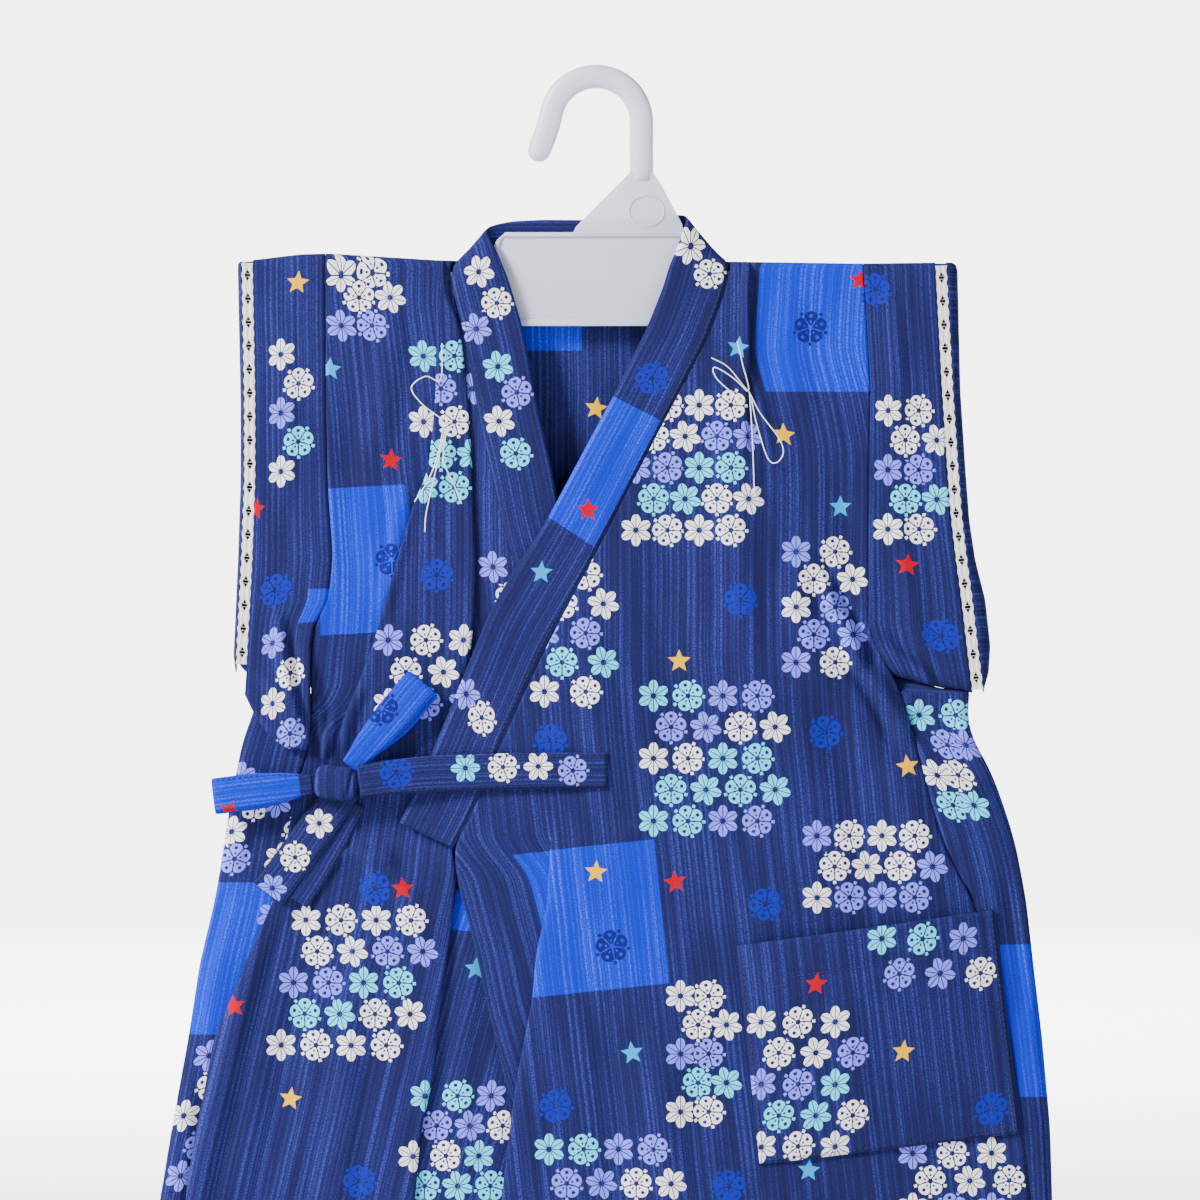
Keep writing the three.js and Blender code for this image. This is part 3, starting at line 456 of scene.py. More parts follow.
def smooth(points: np.ndarray, axis: int, passes: int) -> np.ndarray:
    """Averages each point with its neighbours along an axis; the ends stay.

    Args:
        points: The grid of points.
        axis: 0 averages over rows, 1 over columns.
        passes: How often.

    Returns:
        The softer grid.
    """
    p = np.moveaxis(points, axis, 0).copy()
    for _ in range(passes):
        p[1:-1] = (p[:-2] + 2 * p[1:-1] + p[2:]) / 4
    return np.moveaxis(p, 0, axis)


def normals(points: np.ndarray, closed: bool = False) -> np.ndarray:
    """Unit normals of a grid; closed grids have their first column again as their last.

    Args:
        points: The grid of points.
        closed: Whether it closes round its columns.

    Returns:
        One normal for each point.
    """
    if closed:
        padded = np.concatenate([points[:, -2:-1], points, points[:, 1:2]], axis=1)
        across = padded[:, 2:] - padded[:, :-2]
    else:
        across = np.gradient(points, axis=1)
    down = np.gradient(points, axis=0)
    n = np.cross(across, down)
    return n / np.maximum(np.linalg.norm(n, axis=-1, keepdims=True), 1e-9)


@dataclass(frozen=True)
class Crease:
    """A soft trough or ridge pressed into cloth, along a bowed line from one point to another."""

    x0: float
    z0: float
    x1: float
    z1: float
    half: float  # half its width
    out: float  # how far it stands out, or in where negative
    bow: float = 0.0  # how far its line bows aside in the middle

    def height(self, x: np.ndarray, z: np.ndarray) -> np.ndarray:
        """How far it pushes the cloth out at each point.

        Args:
            x: Where the points lie.
            z: Their heights.

        Returns:
            The push at each, negative where it is a trough.
        """
        along = np.array([self.x1 - self.x0, self.z1 - self.z0])
        length = float(np.hypot(*along))
        tx, tz = along / length
        t = ((x - self.x0) * tx + (z - self.z0) * tz) / length
        side = -(x - self.x0) * tz + (z - self.z0) * tx - self.bow * 4 * t * (1 - t)
        ends = np.clip(np.minimum(t, 1 - t) * 4 + 0.15, 0, 1)
        fade = np.where((t > -0.04) & (t < 1.04), np.sin(ends * np.pi / 2) ** 2, 0)
        d = np.clip(np.abs(side) / self.half, 0, 1)
        return DEEPER * self.out * (1 - d * d) ** 2 * fade


def creases(*rows: Sequence[float]) -> tuple[Crease, ...]:
    """Creases from rows of their fields in order."""
    return tuple(Crease(*row) for row in rows)


@dataclass(frozen=True)
class Figure:
    """One printed figure, by its centre on the worn cloth."""

    x: float
    z: float
    shape: Shape
    hue: Hue
    radius: float
    turn: float = 0.0


@dataclass(frozen=True)
class Block:
    """A rectangle of bright blue ground, by its centre and half sides, turned by turn degrees."""

    x: float
    z: float
    half_x: float
    half_z: float
    turn: float = 0.0


def stars(hue: Hue, *places: tuple[float, float]) -> list[Figure]:
    """Small stars at these centres."""
    return [Figure(x, z, Shape.STAR, hue, 5.9, 4 * ((i * 7) % 5 - 2)) for i, (x, z) in enumerate(places)]


def blooms(hue: Hue, *places: tuple[float, float]) -> list[Figure]:
    """Single plum blossoms at these centres."""
    return [Figure(x, z, Shape.PLUM, hue, 8.4, 12 * (i % 3)) for i, (x, z) in enumerate(places)]


CLUSTER_PITCH = 17.6
CLUSTER_RUNS = (
    (Hue.WHITE, Hue.WHITE, Hue.LAVENDER, Hue.CYAN),
    (Hue.LAVENDER, Hue.WHITE, Hue.WHITE, Hue.LAVENDER),
    (Hue.CYAN, Hue.CYAN, Hue.LAVENDER, Hue.WHITE),
)


def cluster(left: float, top: float, right: float, low: float, run: int = 0, lean: float = 0.0) -> list[Figure]:
    """Staggered rows of blossoms and hemp leaves that fill a rectangle, tinted from row to row.

    Args:
        left: Its left side.
        top: Its top.
        right: Its right side.
        low: Its bottom.
        run: Which order of tints it takes.
        lean: How far it drifts aside for each millimetre down.

    Returns:
        Its figures.
    """
    found = []
    rows = max(1, round((top - low) / (CLUSTER_PITCH * 0.87)))
    for r in range(rows):
        z = top - (r + 0.5) * (top - low) / rows
        wide = right - left - (CLUSTER_PITCH / 2 if rows > 1 else 0)
        count = max(1, round(wide / CLUSTER_PITCH))
        start = left + (CLUSTER_PITCH / 2 if r % 2 and rows > 1 else 0) + lean * (top - z)
        for c in range(count):
            x = start + (c + 0.5) * wide / count
            hue = CLUSTER_RUNS[run % 3][(r + (c + run) // 2) % 4]
            shape = Shape.PLUM if (r + c) % 2 else Shape.HEMP
            found.append(Figure(x, z, shape, hue, 7.9 if shape is Shape.PLUM else 8.2, 15 * (c % 2)))
    return found


def clusters(*rows: Sequence[float]) -> list[Figure]:
    """Clusters from rows of their values in order."""
    return [figure for row in rows for figure in cluster(*row)]


@dataclass
class Cloth:
    """A grid of cloth: where its points lie, and where they lay in the flat piece."""

    name: str
    points: np.ndarray
    thickness: float = CLOTH
    closed: bool = False
    facing: float = -1.0  # -1 looks to the front, 1 to the back
    lean: Callable[[np.ndarray], np.ndarray] | None = None
    strip: bool = False  # a long band, whose own middle line is its grain
    ring: float = 0.0  # a sleeve made of rings that follow each other out along +X or -X
    crosswise: bool = False  # cut with its stripes across it
    flat: np.ndarray = field(init=False)
    grain: np.ndarray = field(init=False)

    def __post_init__(self) -> None:
        """Measures the flat piece: across along each row from the middle, and down by height or by length."""
        rows, columns = self.points.shape[:2]
        gaps = np.linalg.norm(np.diff(self.points, axis=1), axis=-1)
        across = np.concatenate([np.zeros((rows, 1)), np.cumsum(gaps, axis=1)], axis=1)
        anchor = columns // 2
        if self.strip or self.ring:
            down = np.linalg.norm(np.diff(self.points, axis=0), axis=-1).mean(axis=1)
        else:
            down = np.abs(np.diff(self.points[:, anchor, 2]))
        down = np.concatenate([[0], np.cumsum(down)])
        u = across - across[:, anchor : anchor + 1]
        if not self.strip:
            u += self.points[:, anchor : anchor + 1, 0]
        v = np.repeat(-down[:, None], columns, axis=1)
        if self.ring:
            u, v = -v * self.ring, -across
        self.flat = np.stack([u, v], axis=-1)
        lean = self.lean(self.points[..., 2]) if self.lean else 0
        self.grain = np.stack([u - lean, v], axis=-1)
        if self.crosswise:
            self.grain = self.grain[..., ::-1].copy()

    def press(self, creases: Iterable[Crease]) -> None:
        """Pushes the cloth out or in at its creases, toward the viewer of its face."""
        x, z = self.points[..., 0], self.points[..., 2]
        for crease in creases:
            self.points[..., 1] += self.facing * crease.height(x, z)

    def place(self, x: float, z: float) -> np.ndarray:
        """Where the top layer of cloth at (x, z) lay in the flat piece.

        Args:
            x: Across.
            z: Height.

        Returns:
            Its place in the flat piece.
        """
        flat = self.points.reshape(-1, 3)
        away = np.hypot(flat[:, 0] - x, flat[:, 2] - z)
        near = np.flatnonzero(away < away.min() + SAME_SPOT)
        best = near[np.argmax(flat[near, 1] * self.facing)]
        here = 0 if self.strip else np.array([x - flat[best, 0], z - flat[best, 2]])
        return self.flat.reshape(-1, 2)[best] + here

    def mesh(self, figures: Sequence[Figure] = (), blocks: Sequence[Block] = ()) -> Object:
        """The cloth as a closed shell that carries its print.

        Args:
            figures: Its printed figures.
            blocks: Its bright blocks.

        Returns:
            The mesh object.
        """
        rows, columns = self.points.shape[:2]
        n = normals(self.points, self.closed)
        half = self.edge_profile()[..., None] / 2
        vertices = np.concatenate([(self.points + n * half).reshape(-1, 3), (self.points - n * half).reshape(-1, 3)])
        ids = np.arange(rows * columns).reshape(rows, columns)
        a, b, c, d = ids[:-1, :-1], ids[1:, :-1], ids[1:, 1:], ids[:-1, 1:]
        quads = np.stack([a, b, c, d], -1).reshape(-1, 4)
        count = rows * columns
        faces = [quads, quads[:, ::-1] + count]
        rims = [ids[0, ::-1], ids[-1]] + ([] if self.closed else [ids[:, 0], ids[::-1, -1]])
        for rim in rims:
            faces.append(np.stack([rim[1:], rim[:-1], rim[:-1] + count, rim[1:] + count], -1))
        faces = np.concatenate(faces)
        corners = vertices[faces]
        volume = np.einsum("ij,ij->i", corners[:, 0], np.cross(corners[:, 1], corners[:, 2])).sum()
        volume += np.einsum("ij,ij->i", corners[:, 0], np.cross(corners[:, 2], corners[:, 3])).sum()
        if volume < 0:
            faces = faces[:, ::-1]
        obj = new_object(self.name, vertices, faces)
        self.paint(obj, faces % count, figures, blocks)
        if self.closed:
            weld(obj)
        return obj

    def edge_profile(self) -> np.ndarray:
        """The thickness over the grid; thick bands are rounded off at their edges.

        Returns:
            One thickness for each point.
        """
        rows, columns = self.points.shape[:2]
        profile = np.full((rows, columns), self.thickness)
        if self.thickness > 1:
            round_off = np.array([0.45, 0.9])
            profile[:, :2] *= round_off
            profile[:, -2:] *= round_off[::-1]
        return profile

    def paint(
        self, obj: Object, corners: np.ndarray, figures: Sequence[Figure], blocks: Sequence[Block]
    ) -> None:
        """Writes the grain, and each face's place in its nearest figure and block, to the mesh.

        Args:
            obj: The cloth's mesh object.
            corners: Each face's four places in the grid.
            figures: The printed figures.
            blocks: The bright blocks.
        """
        flat = self.flat.reshape(-1, 2)[corners]
        middle = flat.mean(axis=1)
        write_uv(obj, "Grain", self.grain.reshape(-1, 2)[corners] * MM)
        place = np.full(flat.shape, OFF_PRINT)
        kind = np.zeros(len(corners))
        tint = np.ones((len(corners), 4))
        if figures:
            centres = np.array([self.place(f.x, f.z) for f in figures])
            nearest = nearest_of(middle, centres)
            radius = np.array([f.radius for f in figures])[nearest]
            turn = np.radians([f.turn for f in figures])[nearest]
            place = turned(flat - centres[nearest][:, None], turn) / radius[:, None, None]
            kind = np.array([f.shape.value for f in figures])[nearest]
            tint = np.array([linear(f.hue) for f in figures])[nearest]
        write_uv(obj, "Figure", np.clip(place, -OFF_PRINT, OFF_PRINT))
        place = np.full(flat.shape, OFF_PRINT)
        if blocks:
            centres = np.array([self.place(b.x, b.z) for b in blocks])
            half = np.array([[b.half_x, b.half_z] for b in blocks])
            away = np.abs(middle[:, None] - centres[None]) / half[None]
            nearest = np.argmin(away.max(axis=-1), axis=1)
            turn = np.radians([b.turn for b in blocks])[nearest]
            place = turned(flat - centres[nearest][:, None], turn) / half[nearest][:, None]
        write_uv(obj, "Block", np.clip(place, -OFF_PRINT, OFF_PRINT))
        mesh = obj.data
        mesh.attributes.new("figure_kind", "FLOAT", "FACE").data.foreach_set("value", kind)
        mesh.attributes.new("figure_tint", "FLOAT_COLOR", "FACE").data.foreach_set("color", tint.ravel())


def nearest_of(points: np.ndarray, centres: np.ndarray) -> np.ndarray:
    """For each point the index of its nearest centre."""
    return np.argmin(((points[:, None] - centres[None]) ** 2).sum(axis=-1), axis=1)


def turned(places: np.ndarray, angles: np.ndarray) -> np.ndarray:
    """Each face's corners turned back by its angle."""
    c, s = np.cos(angles)[:, None], np.sin(angles)[:, None]
    x, y = places[..., 0], places[..., 1]
    return np.stack([x * c + y * s, y * c - x * s], axis=-1)


def write_uv(obj: Object, name: str, values: np.ndarray) -> None:
    """Adds a UV map with one value for each face corner."""
    obj.data.uv_layers.new(name=name).data.foreach_set("uv", values.astype(np.float32).ravel())


def add_to_scene(name: str, data: bpy.types.ID) -> Object:
    """A new object of this data, linked to the scene."""
    obj = bpy.data.objects.new(name, data)
    bpy.context.scene.collection.objects.link(obj)
    return obj


def tube_faces(rings: int, around: int, start: int = 0) -> list[tuple[int, int, int, int]]:
    """Quads between rings of points that follow each other.

    Args:
        rings: How many rings there are.
        around: Points in each ring.
        start: Index of the first point.

    Returns:
        Each quad's four indices.
    """
    return [
        (a + k, a + (k + 1) % around, a + around + (k + 1) % around, a + around + k)
        for a in range(start, start + around * (rings - 1), around)
        for k in range(around)
    ]


def new_object(name: str, vertices: np.ndarray, faces: np.ndarray | list) -> Object:
    """A mesh object in the scene, from millimetres.

    Args:
        name: The object's name.
        vertices: Its points.
        faces: Each face's indices.

    Returns:
        The object.
    """
    mesh = bpy.data.meshes.new(name)
    mesh.from_pydata((np.asarray(vertices) * MM).tolist(), [], [list(f) for f in faces])
    mesh.polygons.foreach_set("use_smooth", [True] * len(mesh.polygons))
    return add_to_scene(name, mesh)


def weld(obj: Object) -> None:
    """Joins points that lie on each other."""
    bm = bmesh.new()
    bm.from_mesh(obj.data)
    bmesh.ops.remove_doubles(bm, verts=bm.verts, dist=1e-7)
    bm.to_mesh(obj.data)
    bm.free()


# Repeats by Geometry Nodes: stitches and units of lace


@dataclass
class Repeat:
    """Copies of one small unit on points that each carry their own turn."""

    name: str
    unit: Object
    material: Material
    points: list[Vector]
    turns: list[Matrix]
    jitter: float = 0.04
    seed: int = 7

    def build(self) -> Object:
        """The copies as one plain mesh.

        Returns:
            The mesh object.
        """
        mesh = bpy.data.meshes.new(self.name)
        mesh.from_pydata([p * MM for p in self.points], [], [])
        mesh.attributes.new("turn", "FLOAT_VECTOR", "POINT").data.foreach_set(
            "vector", [angle for m in self.turns for angle in m.to_euler()]
        )
        obj = add_to_scene(self.name, mesh)
        tree, names = self.tree()
        modifier = obj.modifiers.new("Repeat", "NODES")
        modifier.node_group = tree
        for name, value in (("Unit", self.unit), ("Material", self.material)):
            modifier[names[name]] = value
        modifier[names["Size spread"]] = self.jitter
        modifier[names["Seed"]] = self.seed
        graph = bpy.context.evaluated_depsgraph_get()
        result = bpy.data.meshes.new_from_object(obj.evaluated_get(graph))
        obj.modifiers.remove(modifier)
        obj.data = result
        obj.data.polygons.foreach_set("use_smooth", [True] * len(obj.data.polygons))
        bpy.data.objects.remove(self.unit)
        return obj

    @staticmethod
    def tree() -> tuple[NodeTree, dict[str, str]]:
        """The node tree and its inputs' identifiers by name.

        Returns:
            The tree, and an identifier for each name.
        """
        tree = bpy.data.node_groups.new("Repeat on points", "GeometryNodeTree")
        sockets = {
            "Points": "NodeSocketGeometry",
            "Unit": "NodeSocketObject",
            "Material": "NodeSocketMaterial",
            "Size spread": "NodeSocketFloat",
            "Seed": "NodeSocketInt",
        }
        names = {n: tree.interface.new_socket(n, in_out="INPUT", socket_type=t).identifier for n, t in sockets.items()}
        tree.interface.new_socket("Copies", in_out="OUTPUT", socket_type="NodeSocketGeometry")
        given = tree.nodes.new("NodeGroupInput").outputs
        unit = add(tree, "GeometryNodeObjectInfo", {"Object": given["Unit"], "As Instance": True}, "Geometry")
        turn = add(tree, "GeometryNodeInputNamedAttribute", ["turn"], data_type="FLOAT_VECTOR")
        low = add(tree, "SUBTRACT", [1.0, given["Size spread"]])
        high = add(tree, "ADD", [1.0, given["Size spread"]])
        size = add(tree, "FunctionNodeRandomValue", {2: low, 3: high, "Seed": given["Seed"]}, 1, data_type="FLOAT")
        copies = add(
            tree,
            "GeometryNodeInstanceOnPoints",
            {"Points": given["Points"], "Instance": unit, "Rotation": turn, "Scale": size},
        )
        real = add(tree, "GeometryNodeRealizeInstances", [copies])
        done = add(tree, "GeometryNodeSetMaterial", {"Geometry": real, "Material": given["Material"]})
        tree.links.new(done, tree.nodes.new("NodeGroupOutput").inputs[0])
        return tree, names


def frame_at(along: Vector, out: Vector) -> Matrix:
    """Axes with X along a line and Z out of the cloth."""
    x = along.normalized()
    y = out.cross(x).normalized()
    return Matrix((x, y, x.cross(y))).transposed()


STITCH_PITCH = 2.8
STITCH_SHARE = 0.72  # of the pitch, the rest is the gap between two stitches


def stitch_unit(length: float, radius: float) -> Object:
    """One stitch along X: a short round thread that dips into the cloth at both ends.

    Args:
        length: The stitch's length.
        radius: Half the thread's thickness.

    Returns:
        The unit that is repeated.
    """
    sides = 6
    stations = ((-0.5, 0.35, -0.9), (-0.3, 0.95, -0.1), (0.3, 0.95, -0.1), (0.5, 0.35, -0.9))
    vertices = [
        (share * length, radius * size * math.cos(a), radius * (size * math.sin(a) + dip))
        for share, size, dip in stations
        for a in np.linspace(0, 2 * math.pi, sides + 1)[:-1]
    ]
    ends = [tuple(range(sides))[::-1], tuple(range(len(vertices) - sides, len(vertices)))]
    return new_object("stitch", np.array(vertices), tube_faces(len(stations), sides) + ends)


def stitched(
    name: str, cloth: Cloth, path: Sequence[tuple[float, float]], material: Material, radius: float = 0.24
) -> Object:
    """A row of stitches on cloth.

    Args:
        name: The piece's name.
        cloth: What it is sewn on.
        path: Corners of the row, as (row, column) shares of the cloth's grid.
        material: The thread.
        radius: Half the thread's thickness.

    Returns:
        The stitches as one mesh.
    """
    pitch = STITCH_PITCH
    rows, columns = cloth.points.shape[:2]
    shares = np.array(path) * [rows - 1, columns - 1]
    dense = np.concatenate([np.linspace(a, b, 160) for a, b in zip(shares[:-1], shares[1:])])
    low = np.minimum(dense.astype(int), [rows - 2, columns - 2])
    f = dense - low
    r, c = low[:, 0], low[:, 1]
    fr, fc = f[:, :1], f[:, 1:]
    grids = (cloth.points, normals(cloth.points, cloth.closed))
    place, out = (
        g[r, c] * (1 - fr) * (1 - fc)
        + g[r + 1, c] * fr * (1 - fc)
        + g[r, c + 1] * (1 - fr) * fc
        + g[r + 1, c + 1] * fr * fc
        for g in grids
    )
    out *= np.sign(out[:, 1:2].mean() * cloth.facing)
    place = place + out * cloth.thickness / 2
    travelled = np.concatenate([[0], np.cumsum(np.linalg.norm(np.diff(place, axis=0), axis=1))])
    marks = np.arange(pitch / 2, travelled[-1], pitch)
    spots = np.stack([np.interp(marks, travelled, place[:, k]) for k in range(3)], -1)
    facings = np.stack([np.interp(marks, travelled, out[:, k]) for k in range(3)], -1)
    ahead = np.gradient(spots, axis=0)
    unit = stitch_unit(pitch * STITCH_SHARE, radius)
    turns = [frame_at(Vector(a), Vector(o)) for a, o in zip(ahead, facings)]
    return Repeat(name, unit, material, [Vector(s) for s in spots], turns).build()


# Outline of the garment

SHOULDERS = (
    (-181, -148, -133, -69, 63, 132, 200),
    (-87.4, -83.4, -83, -87, -87, -88, -87.2),
)


def ridge(x: Number) -> Number:
    """Height of the shoulder ridge above x."""
    return np.interp(x, *SHOULDERS)


BAND_COLUMNS = "sx z sy fx fz fy"
OVER_BAND = Table(BAND_COLUMNS, [
    (64, -87, 0, 46, -65, -0.4), (65.5, -87.4, -1.8, 43, -73, -4.2), (66, -89, -3.6, 39.5, -83, -6),
    (65.6, -95, -4, 36.5, -89, -6.2), (64, -103, -4.4, 34, -98.5, -6.2),
    (56, -125, -5.2, 25.5, -120, -6.4), (48, -140.5, -5.8, 20, -131, -6.6),
    (33, -168.5, -6.9, 8, -155.5, -7.4), (24.5, -185, -7.6, -0.5, -171, -8),
    (16, -201, -8.2, -9, -187, -8.5), (7.5, -218, -8.6, -17.5, -203, -8.7),
    (-1.5, -235, -8.8, -26, -218.5, -8.9), (-13, -257, -8.8, -40.5, -240, -9),
    (-25, -279.5, -8.8, -53, -262, -9), (-36.7, -304, -8.8, -62.5, -285, -9),
    (-47.5, -328, -8.8, -72, -308.5, -9), (-56, -348, -8.8, -83, -334.5, -9),
    (-64, -367, -8.8, -92, -354.5, -9), (-71.5, BAND_END_Z, -8.8, -98, -367, -9),
])  # fmt: skip
UNDER_BAND = Table(BAND_COLUMNS, [
    (-69, -87, 0, -55.5, -71, 0.4), (-71, -88.4, -1.9, -53, -75, -2.8), (-72, -95, -4.1, -49, -83, -4.7),
    (-71.2, -103, -4.6, -43.6, -96.5, -5), (-65.5, -125, -4.9, -37.5, -117, -5.2),
    (-62.7, -140.5, -5, -34, -133, -5.2), (-57.5, -168.5, -5, -28, -163, -5.2),
    (-53.5, -185, -5, -24, -180.5, -5.2), (-50, -201, -5, -21, -196, -5.2),
    (-46.4, -218, -5, -18, -212, -5.2), (-41.5, -235, -5, -14.5, -226, -5.2),
    (-33, -257, -5, -7, -246, -5.2), (-22, -279.5, -5, 3.5, -266, -5.2),
    (-9.6, -304, -5, 14.5, -288.5, -5.2), (4.5, -328, -5, 27, -310.5, -5.2),
    (17.5, -348, -5, 40, -330.5, -5.2), (32, -367, -5, 53, -347.5, -5.2),
    (42, BAND_END_Z, -5, 62, -359, -5.2),
])  # fmt: skip
BACK_BAND = Table(BAND_COLUMNS, [
    (61, -88.4, 2.6, 44.4, -63, 3), (54, -90.5, 4.2, 36, -63.6, 5.2), (38, -93, 4.8, 20, -64.8, 6.1),
    (15, -94, 5.1, 5, -65.5, 6.4), (-10, -94.2, 5.1, -10, -65.6, 6.4), (-35, -93.4, 4.8, -27, -65.5, 6.1),
    (-54, -91, 4.2, -43, -66.3, 5.2), (-64.5, -88.6, 2.4, -52.4, -68.6, 3),
])  # fmt: skip
OVER_SIDE = Table("z x", [
    (-87, 133.5), (-151, 137), (-206, 136), (-268, 136), (-279.5, 140), (-292, 147.5), (-304, 153),
    (-318, 157), (-336, 162), (-367, 170), (-379.5, 174), (-406, 188), (-437, 200), (-475, 207),
    (-520, 213.5), (HEM_Z, 222),
])  # fmt: skip
UNDER_SIDE = Table("z x", [
    (-83, -135.3), (-154, -135), (-201, -134), (-235, -131.5), (-257, -134), (-268, -140.5),
    (-279.5, -142.3), (-328, -142.5), (-348, -149), (-367, -153), (-392, -157), (-406, -161),
    (-437, -175), (-455, -182), (-475, -191), (-499, -195), (-520, -199.5), (-548, -204), (HEM_Z, -209),
])  # fmt: skip
OUTLINE = Table("z left right", [
    (-304, -170.5, 187.5), (-310, -171.5, 187), (-318, -174.5, 187), (-328, -178, 190.5),
    (-336, -179.5, 195.5), (-348, -182, 201), (-367, -185.5, 207.5), (-379.5, -187, 211),
    (-406, -191.5, 216), (-437, -199, 219.5), (-475, -204.8, 224), (-520, -213, 228),
    (-556, -219, 229), (HEM_Z, -226, 231),
])  # fmt: skip
DEPTH = Table("z front back", [(-87, -3.5, 3.4), (-300, -3.5, 3.6), (-400, -5, 5.4), (HEM_Z, -7, 8.5)])
NECK_EASE = Table("z under over", [(-87, 1.4, 1.2), (-95, 1.4, 0.3), (-103, 0.9, 0), (-125, 0, 0)])
LOW_LAYER = Table("z inset", [(-130, 0.2), (-218, 1.5), (HEM_Z, 1.8)])
UNDER_EDGE = Table("z x", [(BAND_END_Z, 42), (HEM_Z, 46)])
OVER_EDGE = Table("z x", [
    (BAND_END_Z, -71), (-397, -69), (-420, -62.5), (-455, -54.5), (-467, -52), (-499, -44.5),
    (-556, -37), (HEM_Z, -32),
])  # fmt: skip


@dataclass(frozen=True)
class Pleat:
    """A pressed Z fold down a panel; its edge faces left (-1) or right (1), and open 0 irons it flat."""

    facing: int
    stations: Table

    def at(self, z: float) -> dict[str, float]:
        """Its place, width and openness at a height."""
        return {name: self.stations.at(name, z) for name in ("x", "width", "open")}

    def section(self, x: float, width: float, open: float, y_in: float, y_out: float) -> Section:
        """Its six points in a level section, from left to right as seen from the front.

        Args:
            x: The fold's edge.
            width: How far it reaches back from its edge.
            open: 1 where it is folded, 0 where flat.
            y_in: Depth of the cloth at its left.
            y_out: Depth of the cloth at its right.

        Returns:
            The points.
        """
        r = FOLD_RADIUS
        low = max(y_in, y_out)
        shape = [(width - r, 0), (width, r), (width - r, 2 * r), (r, 2 * r), (0, 3 * r), (r, 4 * r)]
        start = x if self.facing < 0 else x - width
        found = []
        for i in range(6):
            out, up = shape[i] if self.facing < 0 else shape[5 - i]
            folded = x + out if self.facing < 0 else x - out
            f = i / 5
            found.append((mix(start + width * f, folded, open), mix(mix(y_in, y_out, f), low - up, open)))
        return found


FOLD_COLUMNS = "z x width open"
SIDE_TUCK = Pleat(-1, Table(FOLD_COLUMNS, [
    (-87, -80, 5, 1), (-121, -79.5, 6, 1), (-154, -80, 8, 1), (-191, -83.5, 9, 1), (-209, -91.5, 10, 1),
    (-240, -100.5, 11, 1), (-273, -109.5, 11, 1), (-299, -119, 10, 1), (-310, -125, 9, 0.9),
    (-320, -131, 7, 0.3), (-328, -133, 7, 0), (HEM_Z, -150, 14, 0),
]))  # fmt: skip
INNER_PLEAT = Pleat(1, Table(FOLD_COLUMNS, [
    (-87, -73, 2.5, 0), (-103, -72.2, 2.5, 0.2), (-118, -68, 4, 1), (-154, -63.8, 5, 1),
    (-199, -61.2, 6, 1), (-235, -60, 6, 1), (-268, -60, 6, 0.8), (-300, -61, 6, 0), (-367, -67, 8, 0),
    (-392, -69, 10, 1), (-420, -72, 12, 1), (-455, -76.5, 13, 1), (-499, -82, 14, 1),
    (-520, -87, 15, 1), (HEM_Z, -95, 17, 1),
]))  # fmt: skip
EDGE_FOLD = Pleat(-1, Table(FOLD_COLUMNS, [
    (-367, -26, 8, 0), (-379.5, -25, 6, 0.4), (-392, -24.2, 6, 1), (-406, -24, 7, 1), (-432, -30, 9, 1),
    (-455, -32, 10, 1), (-499, -40.5, 14, 1), (-548, -46.5, 20, 1), (HEM_Z, -50, 24, 1),
]))  # fmt: skip
SHOULDER_TUCK = Pleat(1, Table(FOLD_COLUMNS, [
    (-87, 77, 4, 1), (-106, 76.5, 5, 1), (-131, 77, 6, 1), (-154, 78, 7, 0.6), (-201, 81, 8, 0),
    (HEM_Z, 100, 10, 0),
]))  # fmt: skip


def run(section: Section, x: float, y: float, steps: int) -> None:
    """Adds points to a section, straight on to (x, y)."""
    x0, y0 = section[-1]
    section.extend((mix(x0, x, i / steps), mix(y0, y, i / steps)) for i in range(1, steps + 1))


def panel_points(section: Callable[[float], Section], sharp: tuple[float, float] = (0, 0)) -> np.ndarray:
    """Grid of a panel from its level sections, rolled over the shoulder at its top.

    Args:
        section: Gives the level section at a height.
        sharp: Upper and lower height between which rows lie closer and stay unsmoothed.

    Returns:
        The panel's grid.
    """
    rows = []
    for drop, depth in ((0, 0.08), (0.9, 0.65), (2.4, 0.9), (4, 1)):
        rows.append([(x, y * depth, ridge(x) - drop) for x, y in section(SHOULDER_Z - drop)])
    heights = np.sort(np.concatenate([np.linspace(-95, HEM_Z, 198), np.arange(sharp[1], sharp[0], 0.9)]))[::-1]
    for z in heights:
        rows.append([(x, y, z) for x, y in section(z)])
    points = refine(np.array(rows), 1)
    soft = smooth(points, 0, 6)
    soft[:5] = points[:5]
    kept = 4 + np.flatnonzero((heights < sharp[0]) & (heights > sharp[1]))
    soft[kept] = points[kept]
    return smooth(soft, 1, 1)


def under_section(z: float) -> Section:
    """Level section of the under front, from its side edge to the collar or its free edge.

    Args:
        z: The height.

    Returns:
        The section's points.
    """
    front = DEPTH.at("front", z)
    low = front + LOW_LAYER.at("inset", z)
    top = low - LIFT
    side, inner = SIDE_TUCK.at(z), INNER_PLEAT.at(z)
    on_band = z > BAND_END_Z
    edge = UNDER_BAND.at("sx", z) - SEAM - NECK_EASE.at("under", z) if on_band else UNDER_EDGE.at("x", z)
    edge_y = UNDER_BAND.at("sy", z) if on_band else front
    section = [(UNDER_SIDE.at("x", z) + SEAM, front)]
    run(section, side["x"] - 1.5, mix(front, low, side["open"]), 3)
    between = mix(front, top, max(side["open"], inner["open"]))
    section += SIDE_TUCK.section(
        **side, y_in=mix(front, low, side["open"]), y_out=mix(front, top, side["open"])
    )
    lift = mix(front, top, inner["open"])
    run(section, inner["x"] - inner["width"] - 1, min(between, lift) if inner["open"] > 0 else front, 2)
    section += INNER_PLEAT.section(**inner, y_in=lift, y_out=mix(front, low, inner["open"]))
    run(section, edge, edge_y, 3)
    return section


